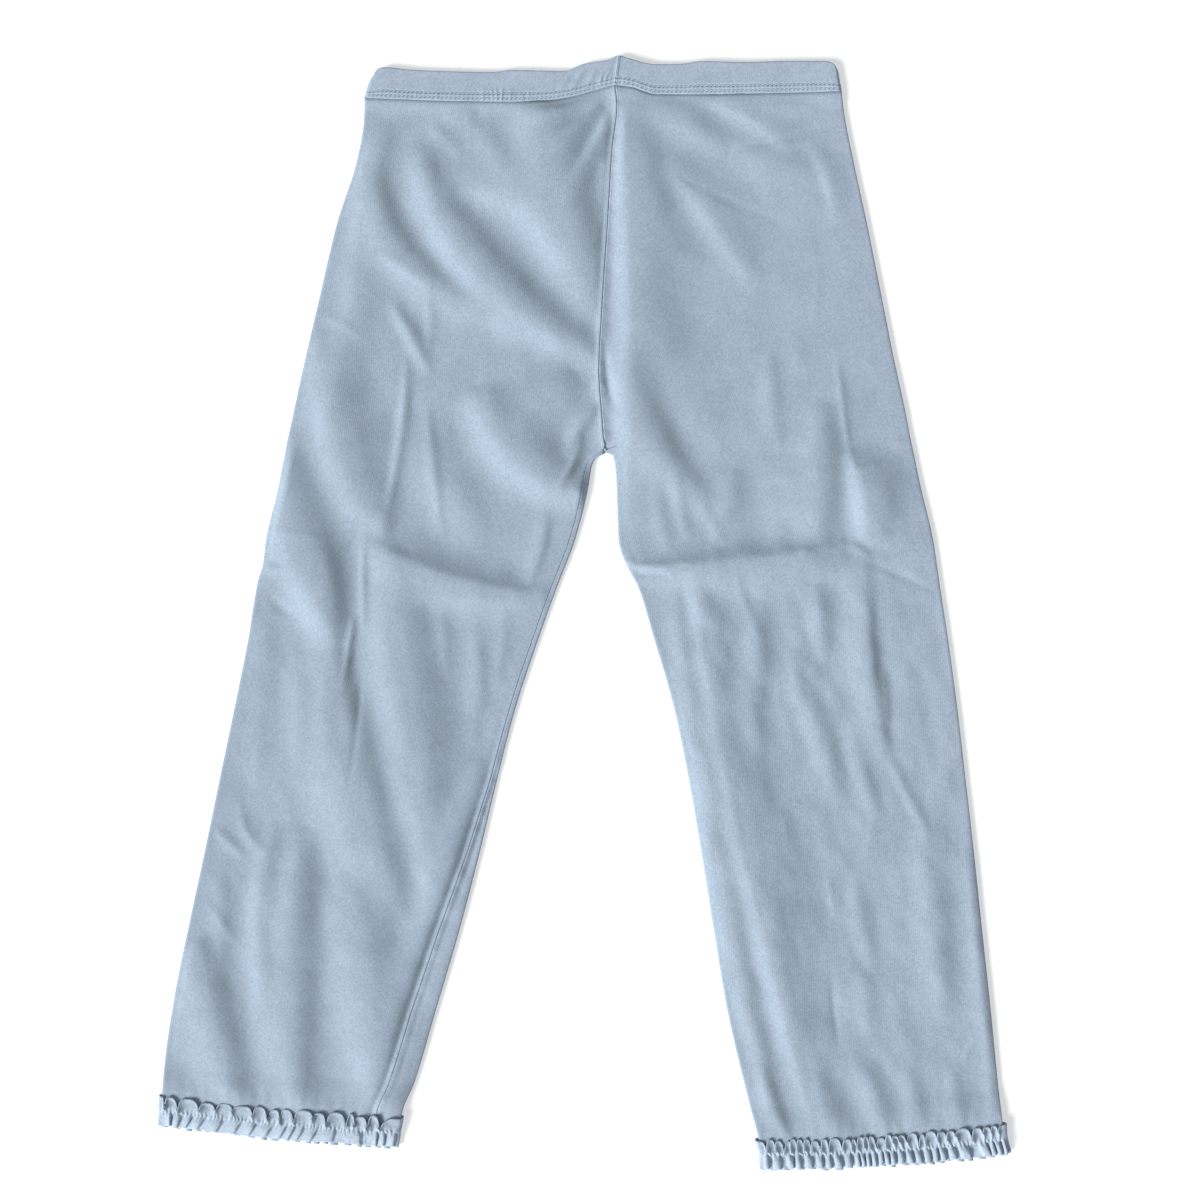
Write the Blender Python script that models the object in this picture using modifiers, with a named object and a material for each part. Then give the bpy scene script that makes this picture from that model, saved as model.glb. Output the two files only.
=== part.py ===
"""Cropped jersey leggings with a gathered ruffle round each hem, lying flat, front side up.

The garment is six sewn pieces: two leg panels, each folded at the side and closed down its inseam;
the two halves of the waist casing, turned down over its elastic; and two ruffles, strips with two
free edges, gathered and stitched round the hems along their middles.

Frame: +X to the photo's right, +Y to the waist, +Z up. The underside lies in the plane z = 0 and the
origin is under the middle of the garment's outline. Sizes here are millimetres; meshes are metres.
"""

import math

import bpy
import numpy as np

MM = 0.001
MIDDLE = (-0.41, 0.80)    # middle of the garment's outline in the tables' x and y, where the origin goes

# Walls and gaps.
CLOTH_WALL = 1.0          # jersey of the legs and ruffles
CASING_WALL = 2.0         # turned cloth over the elastic
SEAM_GAP = 0.3            # between any two pieces at a seam

# Heights above the surface that the garment lies on, to the outer face of the upper layer.
LEG_HEIGHT = 3.6
CASING_HEIGHT = 4.9
HEM_LIFT = 1.7            # how far the under layer rises to clear the ruffle below it
HEM_EXTRA = 0.8           # how much higher the upper layer lies there
FOLD_RISE = 2.0           # most that folds lift the upper layer
FOLD_SINK = 1.1           # most that they sink it

# The turned edges.
LEG_TURN = 1.8            # depth of the fold at a leg's edge, seen from above
CASING_TURN = 2.5
EDGE_FADE = 14.0          # folds die out this close to a turned edge
END_FADE = 16.0           # and this close to the casing and the ruffle
CROTCH_FLAP = 9.0         # cloth beside the back seam that becomes the inner edge at the crotch

# Mesh columns round a leg or a casing half.
UPPER_COLUMNS = 15
UNDER_COLUMNS = 5
TURN_COLUMNS = 4
STRIP_COLUMNS = 1

# Sections across a leg, from the waist down. The outer point is on the side fold; the inner one is on
# the centre front seam, and below the crotch on the leg's inner edge. turn is how far the inner edge
# has closed, in degrees; shift is how far from that edge the inseam lies; lift is the share of
# HEM_LIFT; rows is the number of mesh rows to the next section.
SECTION = ("outer_x", "outer_y", "inner_x", "inner_y", "turn", "shift", "lift", "rows")
LEFT_LEG = (
    (-128.5, 298.7, 17.2, 306.0, 0, 0.0, 0.0, 1),
    (-129.0, 286.0, 18.3, 294.0, 0, 0.0, 0.0, 2),
    (-133.0, 263.0, 15.5, 268.5, 0, 0.0, 0.0, 3),
    (-144.7, 226.0, 12.8, 225.0, 0, 0.0, 0.0, 3),
    (-155.2, 181.5, 9.9, 181.0, 0, 0.0, 0.0, 3),
    (-163.3, 146.7, 7.9, 141.0, 0, 0.0, 0.0, 2),
    (-170.2, 115.0, 9.6, 115.0, 0, 0.0, 0.0, 1),
    (-173.0, 102.0, 10.6, 101.5, 60, 0.0, 0.0, 1),
    (-173.9, 98.0, 11.0, 97.0, 120, 0.0, 0.0, 1),
    (-174.4, 95.0, 11.2, 93.6, 180, 3.2, 0.0, 1),
    (-175.2, 91.0, 5.8, 89.8, 180, 3.2, 0.0, 1),
    (-176.6, 84.0, 3.4, 84.0, 180, 3.2, 0.0, 1),
    (-178.4, 74.0, 1.9, 74.0, 180, 3.2, 0.0, 2),
    (-185.9, 42.3, -5.9, 43.0, 180, 3.2, 0.0, 1),
    (-187.7, 28.0, -11.2, 28.5, 180, 3.2, 0.0, 1),
    (-190.6, 18.5, -14.8, 19.5, 180, 3.2, 0.0, 2),
    (-196.3, -15.7, -27.6, -15.7, 180, 3.2, 0.0, 2),
    (-204.4, -56.0, -41.0, -56.5, 180, 3.2, 0.0, 2),
    (-212.9, -97.0, -51.6, -98.0, 180, 3.8, 0.0, 2),
    (-221.6, -139.0, -62.0, -141.5, 180, 7.4, 0.0, 2),
    (-230.6, -181.0, -73.7, -186.0, 180, 11.7, 0.0, 2),
    (-239.3, -224.5, -87.1, -231.5, 180, 13.6, 0.0, 2),
    (-244.8, -262.0, -99.8, -274.0, 180, 14.2, 0.0, 1),
    (-245.8, -277.0, -105.8, -288.0, 180, 14.5, 1.0, 1),
    (-246.2, -290.5, -109.0, -303.5, 180, 14.5, 1.0, 0),
)
RIGHT_LEG = (
    (148.8, 302.7, 17.2, 306.0, 0, 0.0, 0.0, 1),
    (150.6, 289.0, 18.3, 294.0, 0, 0.0, 0.0, 2),
    (155.7, 263.0, 15.5, 268.5, 0, 0.0, 0.0, 3),
    (164.1, 224.0, 12.8, 225.0, 0, 0.0, 0.0, 3),
    (172.6, 181.5, 9.9, 181.0, 0, 0.0, 0.0, 3),
    (179.5, 146.7, 7.9, 141.0, 0, 0.0, 0.0, 2),
    (186.4, 115.0, 9.6, 115.0, 0, 0.0, 0.0, 1),
    (188.8, 102.0, 10.6, 101.5, 60, 0.0, 0.0, 1),
    (189.7, 98.0, 11.0, 97.0, 120, 0.0, 0.0, 1),
    (190.4, 94.6, 11.2, 93.6, 180, 3.2, 0.0, 1),
    (191.0, 92.0, 15.2, 91.8, 180, 3.2, 0.0, 1),
    (192.4, 85.0, 16.9, 86.0, 180, 3.2, 0.0, 1),
    (194.5, 75.0, 17.8, 75.0, 180, 3.4, 0.0, 2),
    (202.1, 42.3, 18.9, 42.3, 180, 3.8, 0.0, 1),
    (204.3, 28.0, 23.2, 28.5, 180, 4.0, 0.0, 1),
    (206.0, 16.0, 30.3, 15.0, 180, 4.2, 0.0, 2),
    (210.8, -15.7, 39.7, -15.7, 180, 4.6, 0.0, 2),
    (216.2, -56.0, 51.6, -57.0, 180, 5.2, 0.0, 2),
    (221.1, -98.0, 60.1, -98.5, 180, 5.8, 0.0, 2),
    (225.9, -140.0, 67.4, -141.0, 180, 6.4, 0.0, 2),
    (230.4, -183.0, 74.1, -183.0, 180, 7.0, 0.0, 2),
    (235.3, -228.0, 82.0, -230.0, 180, 7.6, 0.0, 2),
    (240.0, -276.0, 95.4, -287.0, 180, 8.0, 0.0, 1),
    (241.6, -291.0, 99.2, -301.0, 180, 8.0, 1.0, 1),
    (243.4, -307.0, 103.0, -316.2, 180, 8.0, 1.0, 0),
)
LEFT_HEM_BOW = 1.5        # how far the middle of a hem sags below its ends
RIGHT_HEM_BOW = 2.4
BOW_REACH = 40.0          # the bow fades out this far above the hem
WAIST_REACH = 60.0        # and the waist line's own curve this far below the casing

# The seam under the casing and the casing's top edge, as x, y along each.
WAIST_LINE = (
    (-128.5, 298.7), (-100.0, 297.6), (-83.0, 297.0), (-40.0, 296.5), (-24.0, 297.0), (-8.0, 299.4),
    (11.0, 304.6), (17.2, 306.0), (26.4, 305.1), (33.9, 302.6), (40.9, 300.8), (66.0, 300.7),
    (100.0, 301.3), (130.0, 302.0), (148.8, 302.7),
)
TOP_LINE = (
    (-123.5, 312.6), (-120.5, 315.8), (-117.5, 316.7), (-101.0, 315.2), (-83.0, 314.4), (-54.0, 313.8),
    (-43.0, 315.0), (-13.0, 314.4), (-0.3, 318.8), (12.0, 320.7), (19.6, 323.4), (25.0, 321.9),
    (41.0, 318.4), (52.5, 318.4), (69.0, 320.2), (91.4, 319.6), (118.6, 320.3), (138.9, 320.3),
    (143.4, 319.0), (146.2, 316.4),
)
# The casing's ends and its centre seam, in rows from its seam with the legs to its top edge.
CASING_ROW = ("share", "left_x", "centre_x", "right_x")
CASING_ROWS = (
    (0.00, -128.5, 17.2, 148.8),
    (0.12, -128.2, 17.5, 148.6),
    (0.50, -126.9, 18.3, 147.7),
    (0.88, -124.6, 19.3, 146.8),
    (1.00, -122.9, 19.6, 145.9),
)
CASING_ROUNDING = 0.6     # how much lower the casing's face lies along its two long edges

CREST_STEPS = 25          # points along a fold's crest line
FOLD_TAPER = 0.7          # a fold's height follows half a sine wave raised to this power

# Folds of the upper layer: a crest line from start through middle to end, its half width, and its
# height, negative where it is a trough.
FOLD = ("start_x", "start_y", "mid_x", "mid_y", "end_x", "end_y", "half_width", "height")
FOLDS = (
    # left hip and thigh
    (-148.0, 230.0, -150.0, 150.0, -122.0, 56.0, 12.0, 1.5),
    (-119.0, 272.0, -120.0, 225.0, -62.0, 168.0, 10.0, -1.1),
    (-112.0, 245.0, -67.0, 194.0, -14.0, 152.0, 11.0, 1.5),
    (-88.0, 250.0, -58.0, 212.0, 2.0, 166.0, 9.0, -1.2),
    (-76.0, 256.0, -45.0, 230.0, -12.0, 206.0, 10.0, 1.3),
    (-105.0, 146.0, -109.0, 105.0, -115.0, 60.0, 7.0, 1.3),
    (-107.0, 166.0, -90.0, 133.0, -76.0, 113.0, 7.0, 1.0),
    (-60.0, 150.0, -55.0, 110.0, -62.0, 60.0, 16.0, -0.9),
    (-5.0, 116.0, -9.0, 100.0, -8.0, 80.0, 6.0, 1.4),
    # left knee and calf
    (-126.0, 43.0, -80.0, 27.0, -26.0, 12.0, 7.0, -1.3),
    (-122.0, 32.0, -78.0, 15.0, -30.0, 2.0, 7.0, 1.0),
    (-125.0, 28.0, -111.0, -60.0, -84.0, -168.0, 13.0, 1.7),
    (-133.0, -70.0, -126.0, -105.0, -112.0, -135.0, 8.0, -1.0),
    (-160.0, -150.0, -161.0, -190.0, -158.0, -230.0, 9.0, -1.0),
    (-182.0, -140.0, -184.0, -175.0, -188.0, -215.0, 8.0, -0.9),
    (-192.0, -150.0, -196.0, -200.0, -204.0, -250.0, 8.0, 1.1),
    (-140.0, -190.0, -136.0, -235.0, -132.0, -275.0, 9.0, 1.1),
    # right hip and thigh
    (24.0, 262.0, 26.0, 180.0, 24.0, 70.0, 6.0, 1.1),
    (24.0, 288.0, 31.0, 240.0, 46.0, 200.0, 8.0, -1.1),
    (40.0, 260.0, 66.0, 232.0, 94.0, 198.0, 13.0, 1.3),
    (66.0, 293.0, 122.0, 268.0, 145.0, 212.0, 13.0, 1.2),
    (60.0, 180.0, 72.0, 130.0, 76.0, 70.0, 18.0, 0.8),
    (144.0, 137.0, 153.0, 88.0, 162.0, 44.0, 8.0, 1.6),
    # right knee and calf
    (44.0, 27.0, 90.0, 30.0, 144.0, 38.0, 7.0, -1.3),
    (160.0, 32.0, 176.0, 27.0, 206.0, 10.0, 6.0, -1.1),
    (50.0, 17.0, 92.0, 19.0, 146.0, 26.0, 7.0, 1.0),
    (166.0, 24.0, 171.0, -62.0, 203.0, -136.0, 9.0, -1.4),
    (56.0, -4.0, 80.0, -85.0, 98.0, -160.0, 8.0, 1.6),
    (124.0, 8.0, 119.0, -30.0, 121.0, -66.0, 10.0, -1.0),
    (141.0, 4.0, 146.0, -30.0, 146.0, -62.0, 9.0, 1.0),
    (148.0, -70.0, 158.0, -150.0, 156.0, -235.0, 14.0, 1.1),
    (184.0, -130.0, 192.0, -190.0, 200.0, -255.0, 12.0, -0.9),
)

# Ruffles: the ends of the lower free edge, the gathering line and the upper free edge, as the middle
# of the cloth, from the side fold to the inner edge.
RUFFLE_ROW = ("across", "outer_x", "outer_y", "inner_x", "inner_y")
LEFT_RUFFLE = (
    (-1.0, -248.2, -297.5, -108.8, -309.2),
    (0.0, -247.8, -288.3, -107.3, -301.0),
    (1.0, -247.2, -279.0, -105.4, -292.4),
)
RIGHT_RUFFLE = (
    (-1.0, 247.4, -312.4, 101.7, -321.6),
    (0.0, 244.9, -304.8, 100.8, -314.0),
    (1.0, 243.8, -296.8, 98.9, -305.6),
)
STITCHED_SHARE = 0.28     # the middle part that the stitching holds flat
RUFFLE_ROWS = (1.0, STITCHED_SHARE, -STITCHED_SHARE, -1.0)
LEFT_WAVES = 20           # on the front of each ruffle, and as many behind
RIGHT_WAVES = 22
COLUMNS_PER_WAVE = 6
BACK_COLUMNS_PER_WAVE = 4
RUFFLE_TURN = 2.2
RUFFLE_FRONT = 5.3        # height of the front's middle line
FRONT_DROOP = 1.3         # how far the free edge past the hem sinks below that
WAVE_SIZE = 1.35          # the front's waves, above and below their mean
BACK_WAVE_SIZE = 0.7      # the waves of the free edge below, which lies on the surface
END_COLUMNS = 4

CLOTH_COLOUR = (0.40, 0.47, 0.56, 1.0)
TRIM_COLOUR = (0.45, 0.52, 0.61, 1.0)
CLOTH_ROUGHNESS = 0.9


def column(table, names, name):
    """One named column of a table, as an array."""
    place = names.index(name)
    return np.array([line[place] for line in table], dtype=float)


def through_points(knots, values, at):
    """A cubic through the points whose slopes are harmonic means, so it never overshoots them."""
    knots = np.asarray(knots, dtype=float)
    values = np.asarray(values, dtype=float)
    step = np.diff(knots)
    grade = np.diff(values) / step
    slope = np.zeros(len(values))
    before, after = grade[:-1], grade[1:]
    same_way = before * after > 0.0
    product = 2.0 * before * after
    total = np.where(same_way, before + after, 1.0)
    slope[1:-1] = np.where(same_way, product / total, 0.0)
    slope[0], slope[-1] = grade[0], grade[-1]
    at = np.clip(at, knots[0], knots[-1])
    place = np.clip(np.searchsorted(knots, at, side="right") - 1, 0, len(step) - 1)
    part = (at - knots[place]) / step[place]
    rest = 1.0 - part
    return (values[place] * (1.0 + 2.0 * part) * rest ** 2
            + values[place + 1] * (1.0 + 2.0 * rest) * part ** 2
            + step[place] * slope[place] * part * rest ** 2
            - step[place] * slope[place + 1] * rest * part ** 2)


def ease(share):
    """0 at 0, 1 at 1 and level at both ends."""
    share = np.clip(share, 0.0, 1.0)
    return share * share * (3.0 - 2.0 * share)


def line_height(line, x):
    """The y of a line of points at each x."""
    points = np.array(line)
    return through_points(points[:, 0], points[:, 1], x)


def fold_relief(x, y):
    """Sum of the folds at each point: each is a bell across its crest line that tapers to its ends."""
    relief = np.zeros_like(x)
    along = np.linspace(0.0, 1.0, CREST_STEPS)
    taper = np.sin(math.pi * along) ** FOLD_TAPER
    for line in FOLDS:
        fold = dict(zip(FOLD, line))
        turn_x = 2.0 * fold["mid_x"] - 0.5 * (fold["start_x"] + fold["end_x"])
        turn_y = 2.0 * fold["mid_y"] - 0.5 * (fold["start_y"] + fold["end_y"])
        near_start = (1.0 - along) ** 2
        near_turn = 2.0 * along * (1.0 - along)
        near_end = along ** 2
        crest_x = fold["start_x"] * near_start + turn_x * near_turn + fold["end_x"] * near_end
        crest_y = fold["start_y"] * near_start + turn_y * near_turn + fold["end_y"] * near_end
        apart = np.hypot(x[..., None] - crest_x, y[..., None] - crest_y)
        bell = np.exp(-(apart / fold["half_width"]) ** 2) * taper
        relief += fold["height"] * bell.max(axis=-1)
    return np.where(relief > 0.0,
                    FOLD_RISE * np.tanh(relief / FOLD_RISE),
                    FOLD_SINK * np.tanh(relief / FOLD_SINK))


def folded_row(width, turn, shift, depth, seam_columns, plain_columns):
    """Places round one section of cloth that is folded at its outer edge.

    Returns, for each mesh column, the distance from the outer edge and the layer: 0 on the layer that
    holds the inseam, 1 on the other, and between them round a turned edge. The cloth starts at the
    seam, crosses to the outer edge, turns, comes back, and below the crotch turns again at the inner
    edge and meets its own start at the inseam.
    """
    seam_edge = width - SEAM_GAP / 2
    inner_columns = TURN_COLUMNS + STRIP_COLUMNS
    round_outer = np.linspace(0.0, math.pi, TURN_COLUMNS + 1)
    if turn >= 180.0:
        start = width - shift - SEAM_GAP / 2
        plain_end = seam_edge - depth
        round_inner = np.linspace(0.0, math.pi, TURN_COLUMNS + 1)[1:]
        strip = np.linspace(plain_end, width - shift + SEAM_GAP / 2, STRIP_COLUMNS + 1)[1:]
        inner_at = np.concatenate([plain_end + depth * np.sin(round_inner), strip])
        inner_layer = np.concatenate([0.5 + 0.5 * np.cos(round_inner), np.zeros(STRIP_COLUMNS)])
    elif turn > 0.0:
        start = seam_edge if turn < 90.0 else seam_edge - depth - SEAM_GAP
        plain_end = seam_edge - depth
        round_inner = np.linspace(0.0, math.radians(turn), inner_columns + 1)[1:]
        inner_at = plain_end + depth * np.sin(round_inner)
        inner_layer = 0.5 + 0.5 * np.cos(round_inner)
    else:
        start = seam_edge
        plain_end = seam_edge - CROTCH_FLAP
        inner_at = np.linspace(plain_end, seam_edge, inner_columns + 1)[1:]
        inner_layer = np.ones(inner_columns)
    seam_at = np.linspace(start, depth, seam_columns + 1)[:-1]
    plain_at = np.linspace(depth, plain_end, plain_columns + 1)[1:]
    at = np.concatenate([seam_at, depth - depth * np.sin(round_outer), plain_at, inner_at])
    layer = np.concatenate([np.zeros(seam_columns), 0.5 - 0.5 * np.cos(round_outer),
                            np.ones(plain_columns), inner_layer])
    return at, layer


def leg_sheet(sections, seam_on_top, bow):
    """Outer face of a leg panel as rows of points: sections joined by smooth curves, then folded."""
    outer_x, outer_y, inner_x, inner_y, turn, shift, lift, rows = (
        column(sections, SECTION, name) for name in SECTION)
    steps = np.hypot(np.diff(inner_x), np.diff(inner_y)) + np.hypot(np.diff(outer_x), np.diff(outer_y))
    knots = np.concatenate([[0.0], np.cumsum(steps) / 2])
    stations = [knots[-1]]
    for place, count in enumerate(rows[:-1].astype(int)):
        stations.extend(np.linspace(knots[place], knots[place + 1], count + 1)[:-1])
    stations = np.sort(stations)
    seam_columns = UPPER_COLUMNS if seam_on_top else UNDER_COLUMNS
    plain_columns = UNDER_COLUMNS if seam_on_top else UPPER_COLUMNS
    sheet = []
    for station in stations:
        ends = [through_points(knots, values, station) for values in (outer_x, outer_y, inner_x, inner_y)]
        width = math.hypot(ends[2] - ends[0], ends[3] - ends[1])
        row_turn = np.interp(station, knots, turn)
        row_lift = np.interp(station, knots, lift)
        row_shift = np.interp(station, knots, shift)
        at, layer = folded_row(width, row_turn, row_shift, LEG_TURN, seam_columns, plain_columns)
        share = at / width
        x = ends[0] + (ends[2] - ends[0]) * share
        y = ends[1] + (ends[3] - ends[1]) * share
        first_y = outer_y[0] + (inner_y[0] - outer_y[0]) * (x - outer_x[0]) / (inner_x[0] - outer_x[0])
        y = y + (line_height(WAIST_LINE, x) - SEAM_GAP / 2 - first_y) * ease(1.0 - station / WAIST_REACH)
        y = y - bow * 4.0 * share * (1.0 - share) * ease(1.0 - (knots[-1] - station) / BOW_REACH)
        clear_ends = ease(station / END_FADE) * ease((knots[-1] - station) / END_FADE)
        clear_edges = ease((at - LEG_TURN) / EDGE_FADE)
        if row_turn >= 90.0:
            clear_edges = clear_edges * ease((width - LEG_TURN - at) / EDGE_FADE)
        upper = LEG_HEIGHT + HEM_EXTRA * row_lift + fold_relief(x, y) * clear_ends * clear_edges
        under = HEM_LIFT * row_lift
        upper_share = 1.0 - layer if seam_on_top else layer
        sheet.append(np.stack([x, y, under + (upper - under) * upper_share], axis=-1))
    return np.array(sheet)


def casing_sheet(side, seam_on_top):
    """Outer face of one half of the casing, from its seam with the leg to its top edge."""
    seam_columns = UPPER_COLUMNS if seam_on_top else UNDER_COLUMNS
    plain_columns = UNDER_COLUMNS if seam_on_top else UPPER_COLUMNS
    sheet = []
    for line in reversed(CASING_ROWS):
        row = dict(zip(CASING_ROW, line))
        outer_x = row[side + "_x"]
        centre_x = row["centre_x"]
        width = abs(centre_x - outer_x)
        at, layer = folded_row(width, 0.0, 0.0, CASING_TURN, seam_columns, plain_columns)
        x = outer_x + (centre_x - outer_x) * at / width
        low = line_height(WAIST_LINE, x) + SEAM_GAP / 2
        y = low + (line_height(TOP_LINE, x) - low) * row["share"]
        edge = abs(2.0 * row["share"] - 1.0) ** 4
        upper = CASING_HEIGHT - CASING_ROUNDING * edge
        upper_share = 1.0 - layer if seam_on_top else layer
        sheet.append(np.stack([x, y, upper * upper_share], axis=-1))
    return np.array(sheet)


def ruffle_sheet(table, waves, bow):
    """Middle of a ruffle's cloth as closed rings, from its upper free edge to its lower one.

    A ring runs along the front, turns round the inner edge, runs back below and turns round the outer
    edge. In front its waves rise off the leg, more the nearer the free edge; below, only the free edge
    past the hem rises, because the leg lies on the rest.
    """
    front = np.linspace(0.0, 1.0, waves * COLUMNS_PER_WAVE + 1)
    back = np.linspace(1.0, 0.0, waves * BACK_COLUMNS_PER_WAVE + 1)
    turning = np.linspace(0.0, math.pi, END_COLUMNS + 1)[1:-1]
    front_phase = 2.0 * math.pi * waves * front
    back_phase = -2.0 * math.pi * waves * back
    known, outer_x, outer_y, inner_x, inner_y = (column(table, RUFFLE_ROW, name) for name in RUFFLE_ROW)
    rings = []
    for across in RUFFLE_ROWS:
        ends = [through_points(known, values, across) for values in (outer_x, outer_y, inner_x, inner_y)]
        width = math.hypot(ends[2] - ends[0], ends[3] - ends[1])
        free = max(0.0, (abs(across) - STITCHED_SHARE) / (1.0 - STITCHED_SHARE))
        past_hem = free if across < 0.0 else 0.0
        front_z = (RUFFLE_FRONT - FRONT_DROOP * past_hem
                   + WAVE_SIZE * free * (1.0 + np.sin(front_phase)))
        back_z = CLOTH_WALL / 2 + BACK_WAVE_SIZE * past_hem * (1.0 + np.sin(back_phase))
        front_at = RUFFLE_TURN + (width - 2.0 * RUFFLE_TURN) * front
        back_at = RUFFLE_TURN + (width - 2.0 * RUFFLE_TURN) * back
        inner_at = width - RUFFLE_TURN + RUFFLE_TURN * np.sin(turning)
        outer_at = RUFFLE_TURN - RUFFLE_TURN * np.sin(turning)
        inner_z = front_z[-1] + (back_z[0] - front_z[-1]) * (0.5 - 0.5 * np.cos(turning))
        outer_z = back_z[-1] + (front_z[0] - back_z[-1]) * (0.5 - 0.5 * np.cos(turning))
        at = np.concatenate([front_at, inner_at, back_at, outer_at])
        z = np.concatenate([front_z, inner_z, back_z, outer_z])
        share = at / width
        x = ends[0] + (ends[2] - ends[0]) * share
        y = ends[1] + (ends[3] - ends[1]) * share - bow * 4.0 * share * (1.0 - share)
        rings.append(np.stack([x, y, z], axis=-1))
    return np.array(rings)


def cloth_material(name, colour):
    """Matt jersey of one colour."""
    material = bpy.data.materials.new(name)
    material.use_nodes = True
    shader = material.node_tree.nodes["Principled BSDF"]
    shader.inputs["Base Color"].default_value = colour
    shader.inputs["Roughness"].default_value = CLOTH_ROUGHNESS
    shader.inputs["Metallic"].default_value = 0.0
    material.diffuse_color = colour
    return material


def cloth_object(name, sheet, ring, wall, offset, colour, collection, turned=False):
    """A grid of points as an open sheet or ring, given its wall by Solidify."""
    row_count, column_count = sheet.shape[:2]
    index = np.arange(row_count * column_count).reshape(row_count, column_count)
    if ring:
        index = np.concatenate([index, index[:, :1]], axis=1)
    corners = [index[:-1, :-1], index[:-1, 1:], index[1:, 1:], index[1:, :-1]]
    if turned:
        corners.reverse()
    faces = np.stack(corners, axis=-1).reshape(-1, 4)
    mesh = bpy.data.meshes.new(name)
    points = (sheet.reshape(-1, 3) - [MIDDLE[0], MIDDLE[1], 0.0]) * MM
    mesh.from_pydata(points.tolist(), [], faces.tolist())
    mesh.shade_smooth()
    mesh.materials.append(cloth_material(name + "_cloth", colour))
    piece = bpy.data.objects.new(name, mesh)
    collection.objects.link(piece)
    thickness = piece.modifiers.new("wall", "SOLIDIFY")
    thickness.thickness = wall * MM
    thickness.offset = offset
    thickness.use_rim = True
    shading = piece.modifiers.new("shading", "WEIGHTED_NORMAL")
    shading.keep_sharp = True
    return piece


def main():
    """Clear the scene and build the six pieces."""
    for old in list(bpy.data.objects):
        bpy.data.objects.remove(old)
    leggings = bpy.data.collections.new("leggings")
    bpy.context.scene.collection.children.link(leggings)

    cloth_object("leg_left", leg_sheet(LEFT_LEG, True, LEFT_HEM_BOW),
                 False, CLOTH_WALL, -1.0, CLOTH_COLOUR, leggings)
    cloth_object("leg_right", leg_sheet(RIGHT_LEG, False, RIGHT_HEM_BOW),
                 False, CLOTH_WALL, -1.0, CLOTH_COLOUR, leggings)
    cloth_object("waistband_left", casing_sheet("left", True),
                 False, CASING_WALL, -1.0, TRIM_COLOUR, leggings)
    cloth_object("waistband_right", casing_sheet("right", False),
                 False, CASING_WALL, -1.0, TRIM_COLOUR, leggings)
    cloth_object("ruffle_left", ruffle_sheet(LEFT_RUFFLE, LEFT_WAVES, LEFT_HEM_BOW),
                 True, CLOTH_WALL, 0.0, TRIM_COLOUR, leggings, turned=True)
    cloth_object("ruffle_right", ruffle_sheet(RIGHT_RUFFLE, RIGHT_WAVES, RIGHT_HEM_BOW),
                 True, CLOTH_WALL, 0.0, TRIM_COLOUR, leggings)


main()
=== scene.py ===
"""Dressed model of cropped jersey leggings with a ruffle round each hem, lying flat, front side up.

Sizes in the sections are millimetres in the part's own tables' x and y; meshes are metres in its frame.
"""

import math

import bmesh
import bpy
import numpy as np
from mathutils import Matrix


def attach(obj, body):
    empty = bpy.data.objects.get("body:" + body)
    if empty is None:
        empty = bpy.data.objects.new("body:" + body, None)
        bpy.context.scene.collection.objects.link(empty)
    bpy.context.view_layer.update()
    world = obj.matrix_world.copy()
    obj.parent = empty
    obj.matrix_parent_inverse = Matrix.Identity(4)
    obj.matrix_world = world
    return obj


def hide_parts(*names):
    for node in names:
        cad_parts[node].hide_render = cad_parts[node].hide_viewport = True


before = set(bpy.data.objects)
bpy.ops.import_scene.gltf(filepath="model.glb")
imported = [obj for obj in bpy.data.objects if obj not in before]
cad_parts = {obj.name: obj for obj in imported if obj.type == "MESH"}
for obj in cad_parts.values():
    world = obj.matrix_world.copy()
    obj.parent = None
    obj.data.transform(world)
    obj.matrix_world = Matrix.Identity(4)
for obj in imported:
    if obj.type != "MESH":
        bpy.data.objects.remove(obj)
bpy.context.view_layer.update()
scene = bpy.context.scene

# ------------ camera
# The garment is seen straight from above through a 50 mm lens, 696 mm of the surface across the frame.
VIEW_LENS = 50
VIEW_SENSOR = 36
VIEW_WIDTH = 0.696
VIEW_LEVEL = 0.004  # height at which the frame is that wide
VIEW_MIDDLE = (0.0088, 0.0067)

camera = bpy.data.objects.new("camera", bpy.data.cameras.new("camera"))
camera.data.lens = VIEW_LENS
camera.data.sensor_width = VIEW_SENSOR
camera.data.clip_start = 0.05
camera.location = (*VIEW_MIDDLE, VIEW_LEVEL + VIEW_WIDTH * VIEW_LENS / VIEW_SENSOR)
scene.collection.objects.link(camera)
scene.camera = camera

# ------------ floor and light
# A light table of matt opal sheet, lit from beneath so that it stays near white, a wide low soft light
# from the left and the hems, and a pale surround that fills the shadows.
SHEET_DARK = "#d2d2d2"
SHEET_LIGHT = "#d6d6d6"
SHEET_GLOW = 0.45
KEY_FROM = (-0.82, -0.57, 0.56)
KEY_SPREAD = 26
KEY_STRENGTH = 5.2
SURROUND_COLOUR = (0.93, 0.96, 1, 1)
SURROUND_STRENGTH = 0.36


def linear(code):
    """sRGB hex code as linear colour: each channel through the sRGB curve."""
    channels = [int(code[i:i + 2], 16) / 255 for i in (1, 3, 5)]
    return tuple(c / 12.92 if c <= 0.04045 else ((c + 0.055) / 1.055) ** 2.4
                 for c in channels) + (1,)


def add_node(tree, kind, links=None, **settings):
    """One shader node with its settings, and its inputs set to values or linked to sockets."""
    node = tree.nodes.new("ShaderNode" + kind)
    for name, value in settings.items():
        setattr(node, name, value)
    for name, value in (links or {}).items():
        if isinstance(value, bpy.types.NodeSocket):
            tree.links.new(value, node.inputs[name])
        else:
            node.inputs[name].default_value = value
    return node


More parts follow.
